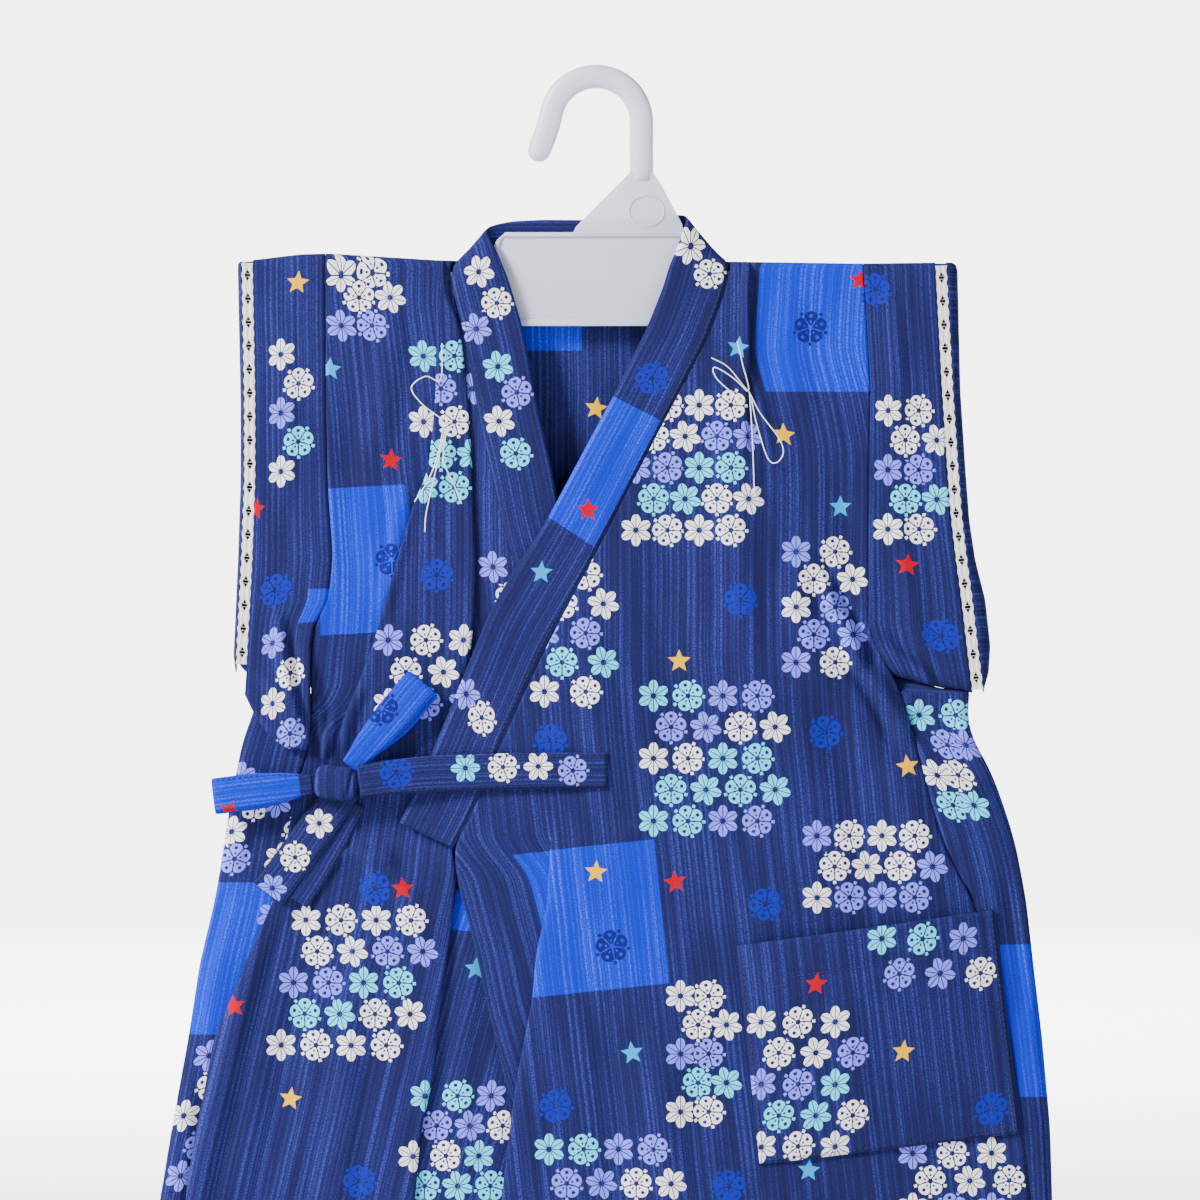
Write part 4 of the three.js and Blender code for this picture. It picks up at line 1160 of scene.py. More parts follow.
def over_depth(z: float) -> float:
    """Depth of the over front where it lies on the under front."""
    return min(OVER_BAND.at("sy", z), DEPTH.at("front", z) - 4.2)


EDGE_FOLD_Z = -367  # above this the fold at the free edge is flat, and keeps clear of the shoulder tuck
UNDER_BAND_REACH = 66  # the under front's collar reaches this far out below the over front


def over_section(z: float) -> Section:
    """Level section of the over front, from the collar or its free edge to its side seam.

    Args:
        z: The height.

    Returns:
        The section's points.
    """
    front = DEPTH.at("front", z)
    on_band = z > BAND_END_Z
    edge = OVER_BAND.at("sx", z) + SEAM + NECK_EASE.at("over", z) if on_band else OVER_EDGE.at("x", z)
    edge_y = OVER_BAND.at("sy", z) if on_band else over_depth(z)
    fold, tuck = EDGE_FOLD.at(z), SHOULDER_TUCK.at(z)
    side = OVER_SIDE.at("x", z) - SEAM
    if z > EDGE_FOLD_Z:
        room = tuck["x"] - tuck["width"] - edge
        fold["width"] = min(8, room * 0.4)
        fold["x"] = edge + room * 0.3
    section = [(edge, edge_y)]
    raised = mix(edge_y, edge_y - LIFT, fold["open"])
    run(section, mix(edge, fold["x"], 0.8), edge_y, 2)
    section += EDGE_FOLD.section(**fold, y_in=edge_y, y_out=raised)
    start = max(fold["x"], UNDER_BAND_REACH)

    def eased(x: float) -> float:
        """Depth of the cloth at x, between its raised edge and its side seam."""
        return mix(raised, front, step(x, start, side))

    tuck_start = tuck["x"] - tuck["width"]
    run(section, mix(section[-1][0], tuck_start, 0.9), eased(tuck_start), 2)
    before = section[-1][1]
    top = min(before, front - LIFT)
    section += SHOULDER_TUCK.section(
        **tuck, y_in=mix(before, top, tuck["open"]), y_out=mix(eased(tuck["x"]), top + LIFT, tuck["open"])
    )
    run(section, side, front, 8)
    return section


UNDERARM = ((294, 297.7, 300.6, 302.4), (0, 0.33, 0.66, 1))  # the side's top under the left sleeve
BULGE = 2.8  # the middle of the back hangs this much further out than its sides
LAP_START = (-306, -302.5)  # the under side turns forward between these heights
LAP, LAP_DEPTH = 3.3, 1.2  # it is tucked this far under the under front, and lies this much deeper
SIDE_TURN = 5  # a side's edge turns from front to back over this width
NECK_ENDS = (-67, 63.5)  # the neck seam of the back runs between these


def back_section(z: float) -> Section:
    """Level section of the back, from its front edge at the under side round to the over side.

    Args:
        z: The height.

    Returns:
        The section's points.
    """
    front, back = DEPTH.at("front", z), DEPTH.at("back", z)
    ends = []
    for away, key, seams in ((-1, "left", UNDER_SIDE), (1, "right", OVER_SIDE)):
        out, seam = OUTLINE.at(key, z), seams.at("x", z)
        lapped = away < 0
        spread = 1 - step(z, *LAP_START) if lapped else float(np.interp(-z, *UNDERARM))
        tucked = LAP * step(-z, 348, 367) - SEAM if lapped else -SEAM
        edge_y = front + (LAP_DEPTH if lapped else 0)
        middle = (edge_y + back) / 2
        wrapped = [
            (seam - away * tucked, edge_y),
            (mix(seam, out, 0.55), edge_y),
            (out - away * SIDE_TURN, edge_y),
            (out - away * 1.2, mix(middle, edge_y, 0.6)),
            (out - away * 1.2, mix(middle, back, 0.6)),
            (out - away * SIDE_TURN, back),
        ]
        ends.append(
            [
                (mix(seam - away * (SEAM + 0.4 * i), x, spread), mix(back, y, spread))
                for i, (x, y) in enumerate(wrapped)
            ]
        )
    section = list(ends[0])
    x0, x1 = section[-1][0], ends[1][5][0]
    for i in range(1, 10):
        x = mix(x0, x1, i / 10)
        section.append((x, back + BULGE * step(-abs(x), -120, -82)))
    return section + ends[1][::-1]


def back_points() -> np.ndarray:
    """Grid of the back: its top edge is the two shoulders and, between them, the neck seam.

    Returns:
        The grid.
    """
    points = panel_points(back_section, sharp=(-294.0, -306.5))
    band = sorted(BACK_BAND.columns("sx", "z", "sy"))
    for r in range(6):
        row = points[r]
        seam_z, seam_y = (np.interp(row[:, 0], [b[0] for b in band], [b[k] for b in band]) for k in (1, 2))
        f = step(np.minimum(row[:, 0] - NECK_ENDS[0], NECK_ENDS[1] - row[:, 0]), 0, 4)
        row[:, 2] = mix(row[:, 2], np.minimum(row[:, 2], seam_z - 0.25 - r), f)
        row[:, 1] = mix(row[:, 1], mix(seam_y, 5.4, r / 5), f)
    return points


def collar_points() -> np.ndarray:
    """Grid of the collar, from its end on the over front round the neck to its under end.

    Returns:
        The grid.
    """
    stations = [*OVER_BAND.rows[::-1], *BACK_BAND.rows, *UNDER_BAND.rows]
    grid = np.array([[(sx, sy, z), (fx, fy, fz)] for sx, z, sy, fx, fz, fy in stations])
    return smooth(refine(refine(grid, 0), 1), 0, 4)


# Sleeves


@dataclass(frozen=True)
class SleeveForm:
    """Lines and levels of one sleeve: armhole seam, lace, contour and turned-back cuff."""

    away: int  # 1 where it points along +X, -1 along -X
    seam: Table
    lines: Table
    bottom: tuple[tuple[float, float], ...]  # lowest heights over the share from the armhole to the lace
    contour_z: float
    lace_low: float
    behind: float = 0  # how much lower the turned layer hangs at its cuff

    @property
    def side(self) -> str:
        """The wearer's side."""
        return "left" if self.away > 0 else "right"


LINE_COLUMNS = "z lace_in lace_out contour cuff"
LEFT_SLEEVE = SleeveForm(
    1,
    OVER_SIDE,
    Table(
        LINE_COLUMNS,
        [
            (-87, 169.6, 174.8, 181, 140), (-151, 173, 178.2, 182.5, 141), (-190, 175.6, 180.8, 185, 142),
            (-216, 177.6, 182.8, 187, 142), (-236, 180, 185.2, 190, 143), (-256, 182.7, 187.9, 195, 143),
            (-279, 185.4, 190.6, 197.5, 144), (-303, 188.3, 193.5, 196, 145),
        ],
    ),  # fmt: skip
    ((0, -293.4), (0.33, -297.2), (0.66, -300.2), (1, -302.2)),
    -299,
    -300.7,
)
RIGHT_SLEEVE = SleeveForm(
    -1,
    UNDER_SIDE,
    Table(
        LINE_COLUMNS,
        [
            (-87, -171.6, -176.8, -179.5, -130), (-156, -170.4, -175.4, -178, -130),
            (-196, -170.4, -175.4, -178, -130), (-236, -171.8, -177, -179.3, -131),
            (-303, -175.2, -180.4, -182.4, -134),
        ],
    ),  # fmt: skip
    ((0, -331), (0.33, -330), (0.5, -326.5), (0.66, -322), (0.85, -313), (1, -303)),
    -289,
    -288,
    11,
)
STRIP_FRONT, STRIP_BACK = -3.5, 3.4
TURNED_INNER, TURNED_OUTER = 6.4, 13.0
RING_ROLL = 3.8
FLAP = Table("z front back", [(-262, 0, 0), (-285, -1.6, -5), (-300, -4, -9.4), (-335, -5, -10.4)])


def sleeve_ring(front: Layer, back: Layer, lowest: float, steps: int = 72) -> list[Point]:
    """One ring round a sleeve: down its front layer and up its back layer, first point again last.

    Args:
        front: Gives (x, y) of the front layer at a height.
        back: The same for the back layer.
        lowest: Height of the ring's bottom.
        steps: Points down each layer.

    Returns:
        The ring's points.
    """
    highest = float(ridge(front(SHOULDER_Z)[0]))
    heights = np.linspace(highest - RING_ROLL, lowest + RING_ROLL, steps)

    def between(z: float, share: float, level: float) -> Point:
        """A point this share from front to back, at a level."""
        a, b = front(z), back(z)
        return (mix(a[0], b[0], share), mix(a[1], b[1], share), level)

    return [
        between(highest, 0.5, highest),
        between(highest, 0.17, highest - 0.9),
        *((*front(z), z) for z in heights),
        between(lowest, 0.2, lowest + 0.9),
        between(lowest, 0.5, lowest),
        between(lowest, 0.8, lowest + 0.9),
        *((*back(z), z) for z in heights[::-1]),
        between(highest, 0.83, highest - 0.9),
        between(highest, 0.5, highest),
    ]


def strip_points(form: SleeveForm) -> np.ndarray:
    """Grid of the strip between the armhole and the lace.

    Args:
        form: The sleeve's lines.

    Returns:
        The grid.
    """

    def layer(share: float, key: str, depth: float) -> Layer:
        """One layer, this share from the armhole to the lace; only the right one has the flap."""

        def place(z: float) -> tuple[float, float]:
            """Its (x, y) at a height."""
            inner = form.seam.at("x", z) + form.away * SEAM
            outer = form.lines.at("lace_in", z) - form.away * SEAM
            return mix(inner, outer, share), depth + (FLAP.at(key, z) if form.away < 0 else 0.0)

        return place

    rings = [
        sleeve_ring(layer(share, "front", STRIP_FRONT), layer(share, "back", STRIP_BACK), lowest)
        for share, lowest in form.bottom
    ]
    return refine(np.array(rings), 0)


def turned_points(form: SleeveForm) -> np.ndarray:
    """Grid of the outer sleeve: out from the lace, round the contour and back to the cuff.

    Args:
        form: The sleeve's lines.

    Returns:
        The grid.
    """
    middle = (TURNED_OUTER + STRIP_FRONT) / 2
    turn = (STRIP_BACK + TURNED_INNER) / 2

    def layer(line: str, aside: float, depth: float) -> Layer:
        """One layer, this far out from one of the sleeve's lines."""
        return lambda z: (form.lines.at(line, z) + form.away * aside, depth)

    # outer line, aside and depth; inner line, aside and depth; how far above the contour's lowest point it ends
    stations = [
        ("lace_out", SEAM, STRIP_FRONT, "lace_out", SEAM, STRIP_BACK, -3.2),
        ("contour", -1, STRIP_FRONT + 1.5, "lace_out", 1, turn - 1, 2.5),
        ("contour", 0, middle, "lace_out", 1.4, turn, 4),
        ("contour", -1, TURNED_OUTER - 1.5, "lace_out", 1, turn + 1, 3.5),
        ("contour", -7, TURNED_OUTER, "contour", -7, TURNED_INNER, 1 - 0.45 * form.behind),
        ("contour", -24, TURNED_OUTER, "contour", -24, TURNED_INNER, -0.9 * form.behind),
        ("cuff", 0, TURNED_OUTER, "cuff", 0, TURNED_INNER, -form.behind),
    ]
    rings = [
        sleeve_ring(layer(*station[:3]), layer(*station[3:6]), form.contour_z + station[6]) for station in stations
    ]
    return smooth(refine(np.array(rings), 0), 0, 2)


# Sub-assemblies


@dataclass
class Kit:
    """The materials that the pieces share."""

    cotton: Material
    lace: Material
    thread: Material
    navy_thread: Material
    hanger: Material
    stage: Material

    @classmethod
    def make(cls) -> "Kit":
        """All of them, from their finishes."""
        return cls(
            # slub cotton: pale broken streaks on a dark ground that never shines
            cotton=SlubCotton("printed_slub_cotton").material(),
            # knitted cotton lace is matt and lets a little light through
            lace=Matt("cotton_lace", Hue.LACE, 0.9, 0.3, 0.1).material(),
            # basting thread is unmercerised cotton, with no shine
            thread=Matt("basting_thread", Hue.THREAD, 0.85, 0.2).material(),
            # polyester sewing thread: nearly black, a little smoother than the cloth, so it reads as fine dashes
            navy_thread=Matt("sewing_thread", Hue.NAVY_THREAD, 0.6).material(),
            # milky polypropylene: light scatters inside it, and its surface has a soft gloss
            hanger=Matt("milky_polypropylene", Hue.HANGER, 0.4, 0.0, 0.8, clear=0.3).material(),
            # seamless paper: an even pale ground with no texture or gloss
            stage=Matt("studio_paper", Hue.STAGE, 0.95, glow=0.1).material(),
        )


def finish_piece(obj: Object, material: Material) -> Object:
    """Gives a piece its material and body, and logs it.

    Args:
        obj: The piece.
        material: Its material.

    Returns:
        The piece.
    """
    if not obj.data.materials:
        obj.data.materials.append(material)
    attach(obj, "root")
    log.info("%s: %d faces", obj.name, len(getattr(obj.data, "polygons", ())))
    return obj


LEAN_EASE = 40  # a grain takes about this depth to reach its full slope


def drift(z: np.ndarray, start: float, slope: float) -> np.ndarray:
    """How far a grain that turns below a height has drifted aside at z."""
    depth = np.maximum(0, start - z)
    return slope * depth * depth / (depth + LEAN_EASE)


def over_lean(z: np.ndarray) -> np.ndarray:
    """Drift of the over front's grain, and of the pocket's on it."""
    return drift(z, -280, 0.12)


def under_lean(z: np.ndarray) -> np.ndarray:
    """Drift of the under front's grain."""
    return drift(z, -330, -0.24)


# the print of the over front
OVER_FIGURES = [
    *clusters(
        (12, -151, 84, -229, 0), (90, -225, 138, -294, 1), (-36, -236, 14, -309, 0),
        (20, -296, 98, -374, 2), (102, -366, 176, -412, 1), (35, -446, 72, -518, 0),
        (-32, -521, 46, -572, 2), (148, -525, 216, -580, 1), (76, -566, 132, -604, 0),
    ),  # fmt: skip
    *stars(Hue.YELLOW, (94, -173.5), (41.5, -286.5), (155.5, -339), (0, -391.5), (153, -481)),
    *stars(Hue.RED, (-2.5, -210.5), (132, -96), (39.5, -396.5), (195.5, -408.5), (109.5, -446.5), (176, -586)),
    *stars(Hue.SKY, (71, -130), (122, -209.5), (18, -481.5), (106, -540)),
    *blooms(Hue.MIDDLE, (72, -256), (114.5, -322), (84.5, -407.5), (-22.5, -326), (-20, -508)),
    *blooms(Hue.MIDDLE, (66, -548), (197, -510), (139.5, -101)),
    *blooms(Hue.DEEP, (107, -120), (8, -428.5)),
]
# its bright blue blocks
OVER_BLOCKS = [Block(108.5, -110, 28, 42), Block(-5, -415, 38, 36, 6), Block(150, -640, 40, 46, 6)]
# the print of the under front
UNDER_FIGURES = [
    *clusters(
        (-135, -84, -95, -126, 0), (-94, -126, -54, -208, 2), (-113, -268, -48, -316, 1),
        (-152, -408, -73, -486, 0, -0.2), (-92, -496, -34, -556, 2, -0.2),
        (-190, -556, -132, -604, 1, -0.2), (-60, -232, -34, -262, 1),
    ),  # fmt: skip
    *stars(Hue.RED, (-102.5, -186), (-96.5, -400), (-180.5, -458.5)),
    *stars(Hue.YELLOW, (-152.5, -505), (-90, -340)),
    *stars(Hue.SKY, (-133, -140.5), (-60, -440)),
    *blooms(Hue.MIDDLE, (-79.5, -243.5), (-118, -546), (-110, -400)),
    *blooms(Hue.DEEP, (-102, -236)),
]
# its bright blue blocks
UNDER_BLOCKS = [Block(-115, -236, 24, 36.5, 3), Block(-66, -411, 6, 10, -4)]
# the print of the back, laid out as on the fronts
BACK_FIGURES = [
    *clusters(
        (-120, -120, -50, -190, 0), (20, -130, 90, -210, 1), (-90, -270, -20, -340, 2),
        (60, -280, 130, -350, 0), (-170, -350, -110, -420, 1), (0, -400, 70, -470, 2),
        (120, -440, 190, -510, 1), (-110, -490, -40, -560, 0), (40, -540, 100, -600, 1),
        (-205, -476, -178, -551, 1, -0.2), (156, -306, 192, -366, 2, 0.12),
        (-186, -338, -160, -392, 1, -0.2),
    ),  # fmt: skip
    *stars(Hue.YELLOW, (0, -160), (-130, -240), (90, -400), (-10, -520), (150, -560)),
    *stars(Hue.RED, (110, -180), (-30, -230), (-60, -400), (160, -400), (-150, -570)),
    *stars(Hue.SKY, (-90, -220), (30, -250), (-100, -450), (100, -520)),
    *blooms(Hue.MIDDLE, (-40, -140), (140, -240), (0, -370), (-160, -470), (20, -580), (-140, -300)),
]
# its bright blue blocks; two of them reach round its sides to the front
BACK_BLOCKS = [
    Block(-24, -118, 17, 13),
    Block(150, -160, 30, 40),
    Block(-60, -590, 40, 30),
    Block(30, -330, 26, 34),
    Block(-130, -240, 28, 36),
    Block(219, -466, 15, 38),
    Block(-190, -435, 23, 38),
]
# the print of the collar
COLLAR_FIGURES = [
    *clusters(
        (41, -72, 64, -100, 0), (-70, -84, -40, -128, 0), (-62, -132, -28, -190, 2),
        (-76, -296, -44, -322, 1),
    ),  # fmt: skip
    *blooms(Hue.MIDDLE, (29.5, -144.5)),
    *stars(Hue.RED, (-2.5, -210.5)),
    *stars(Hue.SKY, (-27, -241.5)),
]


@dataclass
class Body:
    """The two fronts, the back and the collar."""

    kit: Kit
    over_creases: tuple[Crease, ...] = creases(
        (112, -246, 134, -296, 6, 2.2, 2), (119, -248, 139, -290, 3.6, -2.0, 2),
        (134, -290, 158, -330, 7, 1.8, 2), (126, -288, 148, -330, 5, -1.3, 2),
        (112, -232, 124, -270, 5, -1.2, 2), (96, -236, 118, -300, 11, 1.2, -3),
        (60, -150, 74, -300, 16, 0.9, 4), (36, -190, 46, -360, 20, -0.9, -5), (-10, -250, 4, -366, 14, 0.9, 4),
        (108, -300, 140, -420, 18, -1.0, 6), (150, -330, 176, -400, 13, 1.1, -4),
        (10, -372, 60, -366, 8, 0.7, 2), (34, -466, 44, -600, 16, 1.3, -4), (4, -452, 8, -596, 12, -0.9, 3),
        (118, -190, 126, -262, 12, -0.8, 3), (96, -98, 104, -168, 12, 0.8, -2),
        (-44, -300, 20, -312, 9, 0.6, 2), (150, -392, 204, -404, 8, 0.8, -2),
    )  # fmt: skip
    under_creases: tuple[Crease, ...] = creases(
        (-121, -338, -98, -300, 5, 1.0, 2), (-118, -345, -72, -322, 5, 0.8, -2),
        (-134, -334, -141, -292, 5, 0.9, 1), (-134, -382, -97, -387, 5, 1.2, 1),
        (-126, -362, -104, -400, 6, 1.0, -2), (-140, -372, -150, -424, 7, -1.0, 2),
        (-130, -310, -137, -336, 4, 1.2, 1), (-112, -300, -122, -338, 4, -1.0, -2),
        (-116, -372, -84, -430, 8, 0.9, 3), (-161, -404, -206, -598, 10, 2.2, -4),
        (-144, -420, -178, -600, 12, -1.2, 3), (-118, -440, -132, -600, 13, 1.2, -3),
        (-104, -100, -112, -190, 12, 0.9, 3), (-122, -150, -118, -260, 10, -0.8, -3),
        (-96, -196, -108, -268, 7, 1.0, 2), (-60, -402, -66, -560, 9, 0.8, -3),
        (-70, -280, -64, -330, 9, 0.8, 2),
    )  # fmt: skip
    back_creases: tuple[Crease, ...] = creases(
        (-110, -120, -104, -330, 16, 1.2, 5), (-70, -180, -84, -560, 20, -1.4, -6),
        (-20, -110, -28, -420, 18, 1.3, 6), (24, -150, 36, -590, 22, -1.3, -7),
        (80, -110, 96, -380, 17, 1.4, 5), (126, -300, 164, -600, 18, 1.8, -6),
        (-140, -320, -176, -600, 17, 1.7, 6), (-100, -420, -112, -604, 14, 1.5, 3),
        (60, -430, 76, -604, 15, 1.5, -4), (-4, -470, -2, -604, 13, 1.2, 2), (-60, -300, 60, -330, 12, 0.8, 4),
        (140, -300, 186, -330, 9, 1.0, 2), (-138, -300, -170, -326, 8, 1.0, -2),
    )  # fmt: skip
    wrap_creases: tuple[Crease, ...] = creases(
        (152, -312, 184, -320, 6, -1.3, 1), (158, -332, 196, -352, 8, 1.1, -2),
        (204, -384, 214, -470, 7, -1.0, 1), (-183, -396, -201, -478, 5, -1.6, -2),
        (-170, -344, -182, -392, 5, 1.1, 2), (-196, -490, -208, -600, 6, -1.2, 1),
    )  # fmt: skip

    def build(self) -> list[Object]:
        """The body's panels and the collar, printed.

        Returns:
            The four cloths.
        """
        over = Cloth("over_front", panel_points(over_section), lean=over_lean)
        over.press(self.over_creases)
        under = Cloth("under_front", panel_points(under_section), lean=under_lean)
        under.press(self.under_creases)
        back = Cloth("back_panel", back_points())
        self.turn_wrap(back)
        self.press_back(back)
        collar = Cloth("collar_band", collar_points(), thickness=1.7, strip=True)
        made = [
            over.mesh(OVER_FIGURES, OVER_BLOCKS),
            under.mesh(UNDER_FIGURES, UNDER_BLOCKS),
            back.mesh(BACK_FIGURES, BACK_BLOCKS),
            collar.mesh(COLLAR_FIGURES, [Block(3.7, -190, 16, 35)]),
        ]
        nodes = ("front_over", "front_under", "back side_left side_right", "collar")
        slots = ("cotton", "cotton", "cotton", "cotton_band")
        for obj, node, slot in zip(made, nodes, slots):
            finish_piece(obj, self.kit.cotton)
            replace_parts(obj, *node.split())
        seams = [
            stitched("collar_stitches", collar, [(0.003, 0.07), (0.997, 0.07)], self.kit.navy_thread),
            stitched("over_edge_stitches", over, [(0.58, 0.02), (0.998, 0.02)], self.kit.navy_thread),
        ]
        for obj in seams:
            finish_piece(obj, self.kit.navy_thread)
        return made

    @staticmethod
    def turn_wrap(back: Cloth) -> None:
        """Lays the grain of the wrapped sides along the garment's outline, as their own cut would.

        Args:
            back: The back's cloth.
        """
        front = 1 - step(back.points[..., 1], -2.0, 2.0)
        for key, sign in (("right", 1), ("left", -1)):
            wider = np.array([[OUTLINE.at(key, z) - OUTLINE.at(key, -304)] for z in back.points[:, 0, 2]])
            side = (back.points[..., 0] * sign > 100) * front * wider
            back.flat[..., 0] -= side
            back.grain[..., 0] -= side

    def press_back(self, back: Cloth) -> None:
        """Creases the back where it faces back, and its wrap where that faces the front.

        Args:
            back: The back's cloth.
        """
        x, z = back.points[..., 0], back.points[..., 2]
        behind = step(back.points[..., 1], -1.0, 3.0)
        for crease in self.back_creases:
            back.points[..., 1] += crease.height(x, z) * behind
        for crease in self.wrap_creases:
            back.points[..., 1] -= crease.height(x, z) * (1 - behind)


# the print of the strip at the wearer's left
LEFT_FIGURES = [
    *cluster(138, -154, 178, -228, 0),
    *stars(Hue.RED, (155.5, -238.5)),
    *blooms(Hue.MIDDLE, (139.5, -101), (172, -274)),
]
# the print of the strip at the wearer's right
RIGHT_FIGURES = [
    *clusters(
        (-170, -126, -136, -199, 0), (-174, -270, -140, -330, 1),
    ),  # fmt: skip
    *stars(Hue.YELLOW, (-149, -97.5)),
    *stars(Hue.RED, (-170, -210.5)),
    *blooms(Hue.MIDDLE, (-160.5, -251)),
]


@dataclass
class Sleeves:
    """One sleeve: a strip at the armhole, a ladder of lace, and the outer sleeve turned to the back."""

    kit: Kit
    form: SleeveForm
    lace_pitch: float = 11.7
    left_creases: tuple[Crease, ...] = creases(
        (141, -272, 174, -296, 4, -1.5, 2), (142, -280, 172, -300, 5, 1.6, 1),
        (150, -200, 166, -292, 7, 0.7, -3), (146, -96, 150, -180, 8, 0.7, 2),
    )  # fmt: skip
    right_creases: tuple[Crease, ...] = creases(
        (-160, -256, -147, -322, 4, 1.4, -2), (-153, -262, -142, -326, 3.4, -1.5, -2),
        (-171, -290, -150, -327, 4.5, 1.2, 3), (-158, -100, -154, -210, 7, 0.6, 2),
    )  # fmt: skip

    def build(self) -> None:
        """The strip, the outer sleeve and the lace between them."""
        side = self.form.side
        away = self.form.away
        strip = Cloth(f"sleeve_inner_{side}", strip_points(self.form), closed=True, ring=away)
        turned_back = Cloth(
            f"sleeve_outer_{side}", turned_points(self.form), closed=True, facing=1.0, ring=away, crosswise=True
        )
        figures = LEFT_FIGURES if side == "left" else RIGHT_FIGURES
        blocks = [] if side == "left" else [Block(-139, -259, 6, 9)]
        strip.press(self.left_creases if side == "left" else self.right_creases)
        inner = finish_piece(strip.mesh(figures, blocks), self.kit.cotton)
        outer = finish_piece(turned_back.mesh(self.outer_figures()), self.kit.cotton)
        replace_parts(inner, f"sleeve_strip_{side}")
        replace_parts(outer, f"sleeve_{side}")
        layers = (("front", STRIP_FRONT), ("back", STRIP_BACK))
        lace = [self.lace(f"lace_{layer}_{side}", depth) for layer, depth in layers]

    def outer_figures(self) -> list[Figure]:
        """The print of the turned-back sleeve, which shows behind.

        Returns:
            Its figures.
        """
        away = self.form.away
        left, right = sorted((away * 144, away * 176))
        return [
            *cluster(left, -120, right, -180, 1),
            *stars(Hue.RED, (away * 160, -210)),
            *cluster(left, -230, right, -270, 2),
        ]

    def lace(self, name: str, depth: float) -> Object:
        """One ribbon of ladder lace down a layer of the sleeve.

        Args:
            name: The piece's name and the solid that it replaces.
            depth: The layer's depth.

        Returns:
            The ribbon.
        """
        form = self.form
        high = float(ridge(form.lines.at("lace_in", SHOULDER_Z))) - 1.5
        low = form.lace_low
        count = round((high - low) / self.lace_pitch)
        pitch = (high - low) / count

        def middle(z: float) -> Vector:
            """A point on the ribbon's middle line."""
            return Vector((mix(form.lines.at("lace_in", z), form.lines.at("lace_out", z), 0.5), depth, z))

        points, turns = [], []
        for i in range(count):
            z = high - pitch * (i + 0.5)
            points.append(middle(z))
            turns.append(frame_at(middle(z - pitch / 2) - middle(z + pitch / 2), Vector((0, -1, 0))))
        obj = Repeat(name + "_threads", self.lace_unit(pitch), self.kit.lace, points, turns, 0.0).build()
        finish_piece(obj, self.kit.lace)
        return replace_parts(obj, name)

    @staticmethod
    def lace_unit(pitch: float) -> Object:
        """One rung of the ladder along X: two scalloped borders of loops, cross threads and knots.

        Args:
            pitch: The rung's length.

        Returns:
            The unit that is repeated.
        """
        vertices: list[Point] = []
        faces: list[tuple[int, ...]] = []

        def thread(line: list[Point], radius: float) -> None:
            """A four-sided thread along a line."""
            start = len(vertices)
            for i, p in enumerate(line):
                ahead = Vector(line[min(i + 1, len(line) - 1)]) - Vector(line[max(i - 1, 0)])
                side = ahead.cross(Vector((0, 0, 1))).normalized()
                for s, u in ((radius, 0), (0, radius), (-radius, 0), (0, -radius)):
                    vertices.append((p[0] + side.x * s, p[1] + side.y * s, p[2] + u))
            faces.extend(tube_faces(len(line), 4, start))

        half = pitch / 2
        along = np.linspace(-half, half, 15)
        for sign in (-1, 1):
            hole = [max(0.15, 1.9 * (1 - abs(x) / 3.5)) for x in along]
            edge = [2.35 + 0.3 * math.cos(x / half * math.pi * 2) for x in along]
            start = len(vertices)
            for x, near, far in zip(along, hole, edge):
                vertices.extend((x, sign * y, z) for y, z in ((near, 0.25), (far, 0.25), (far, -0.25), (near, -0.25)))
            faces.extend(tube_faces(len(along), 4, start))
            thread([(x, sign * y, 0.2) for x, y in zip(along, edge)], 0.3)
            thread([(x, sign * y, 0.2) for x, y in zip(along, hole)], 0.22)
        for x in (-0.9, 0.7):
            thread([(x, -1.6, 0.0), (x + 0.2, 1.6, 0.0)], 0.1)
        return new_object("lace_unit", np.array(vertices), faces)


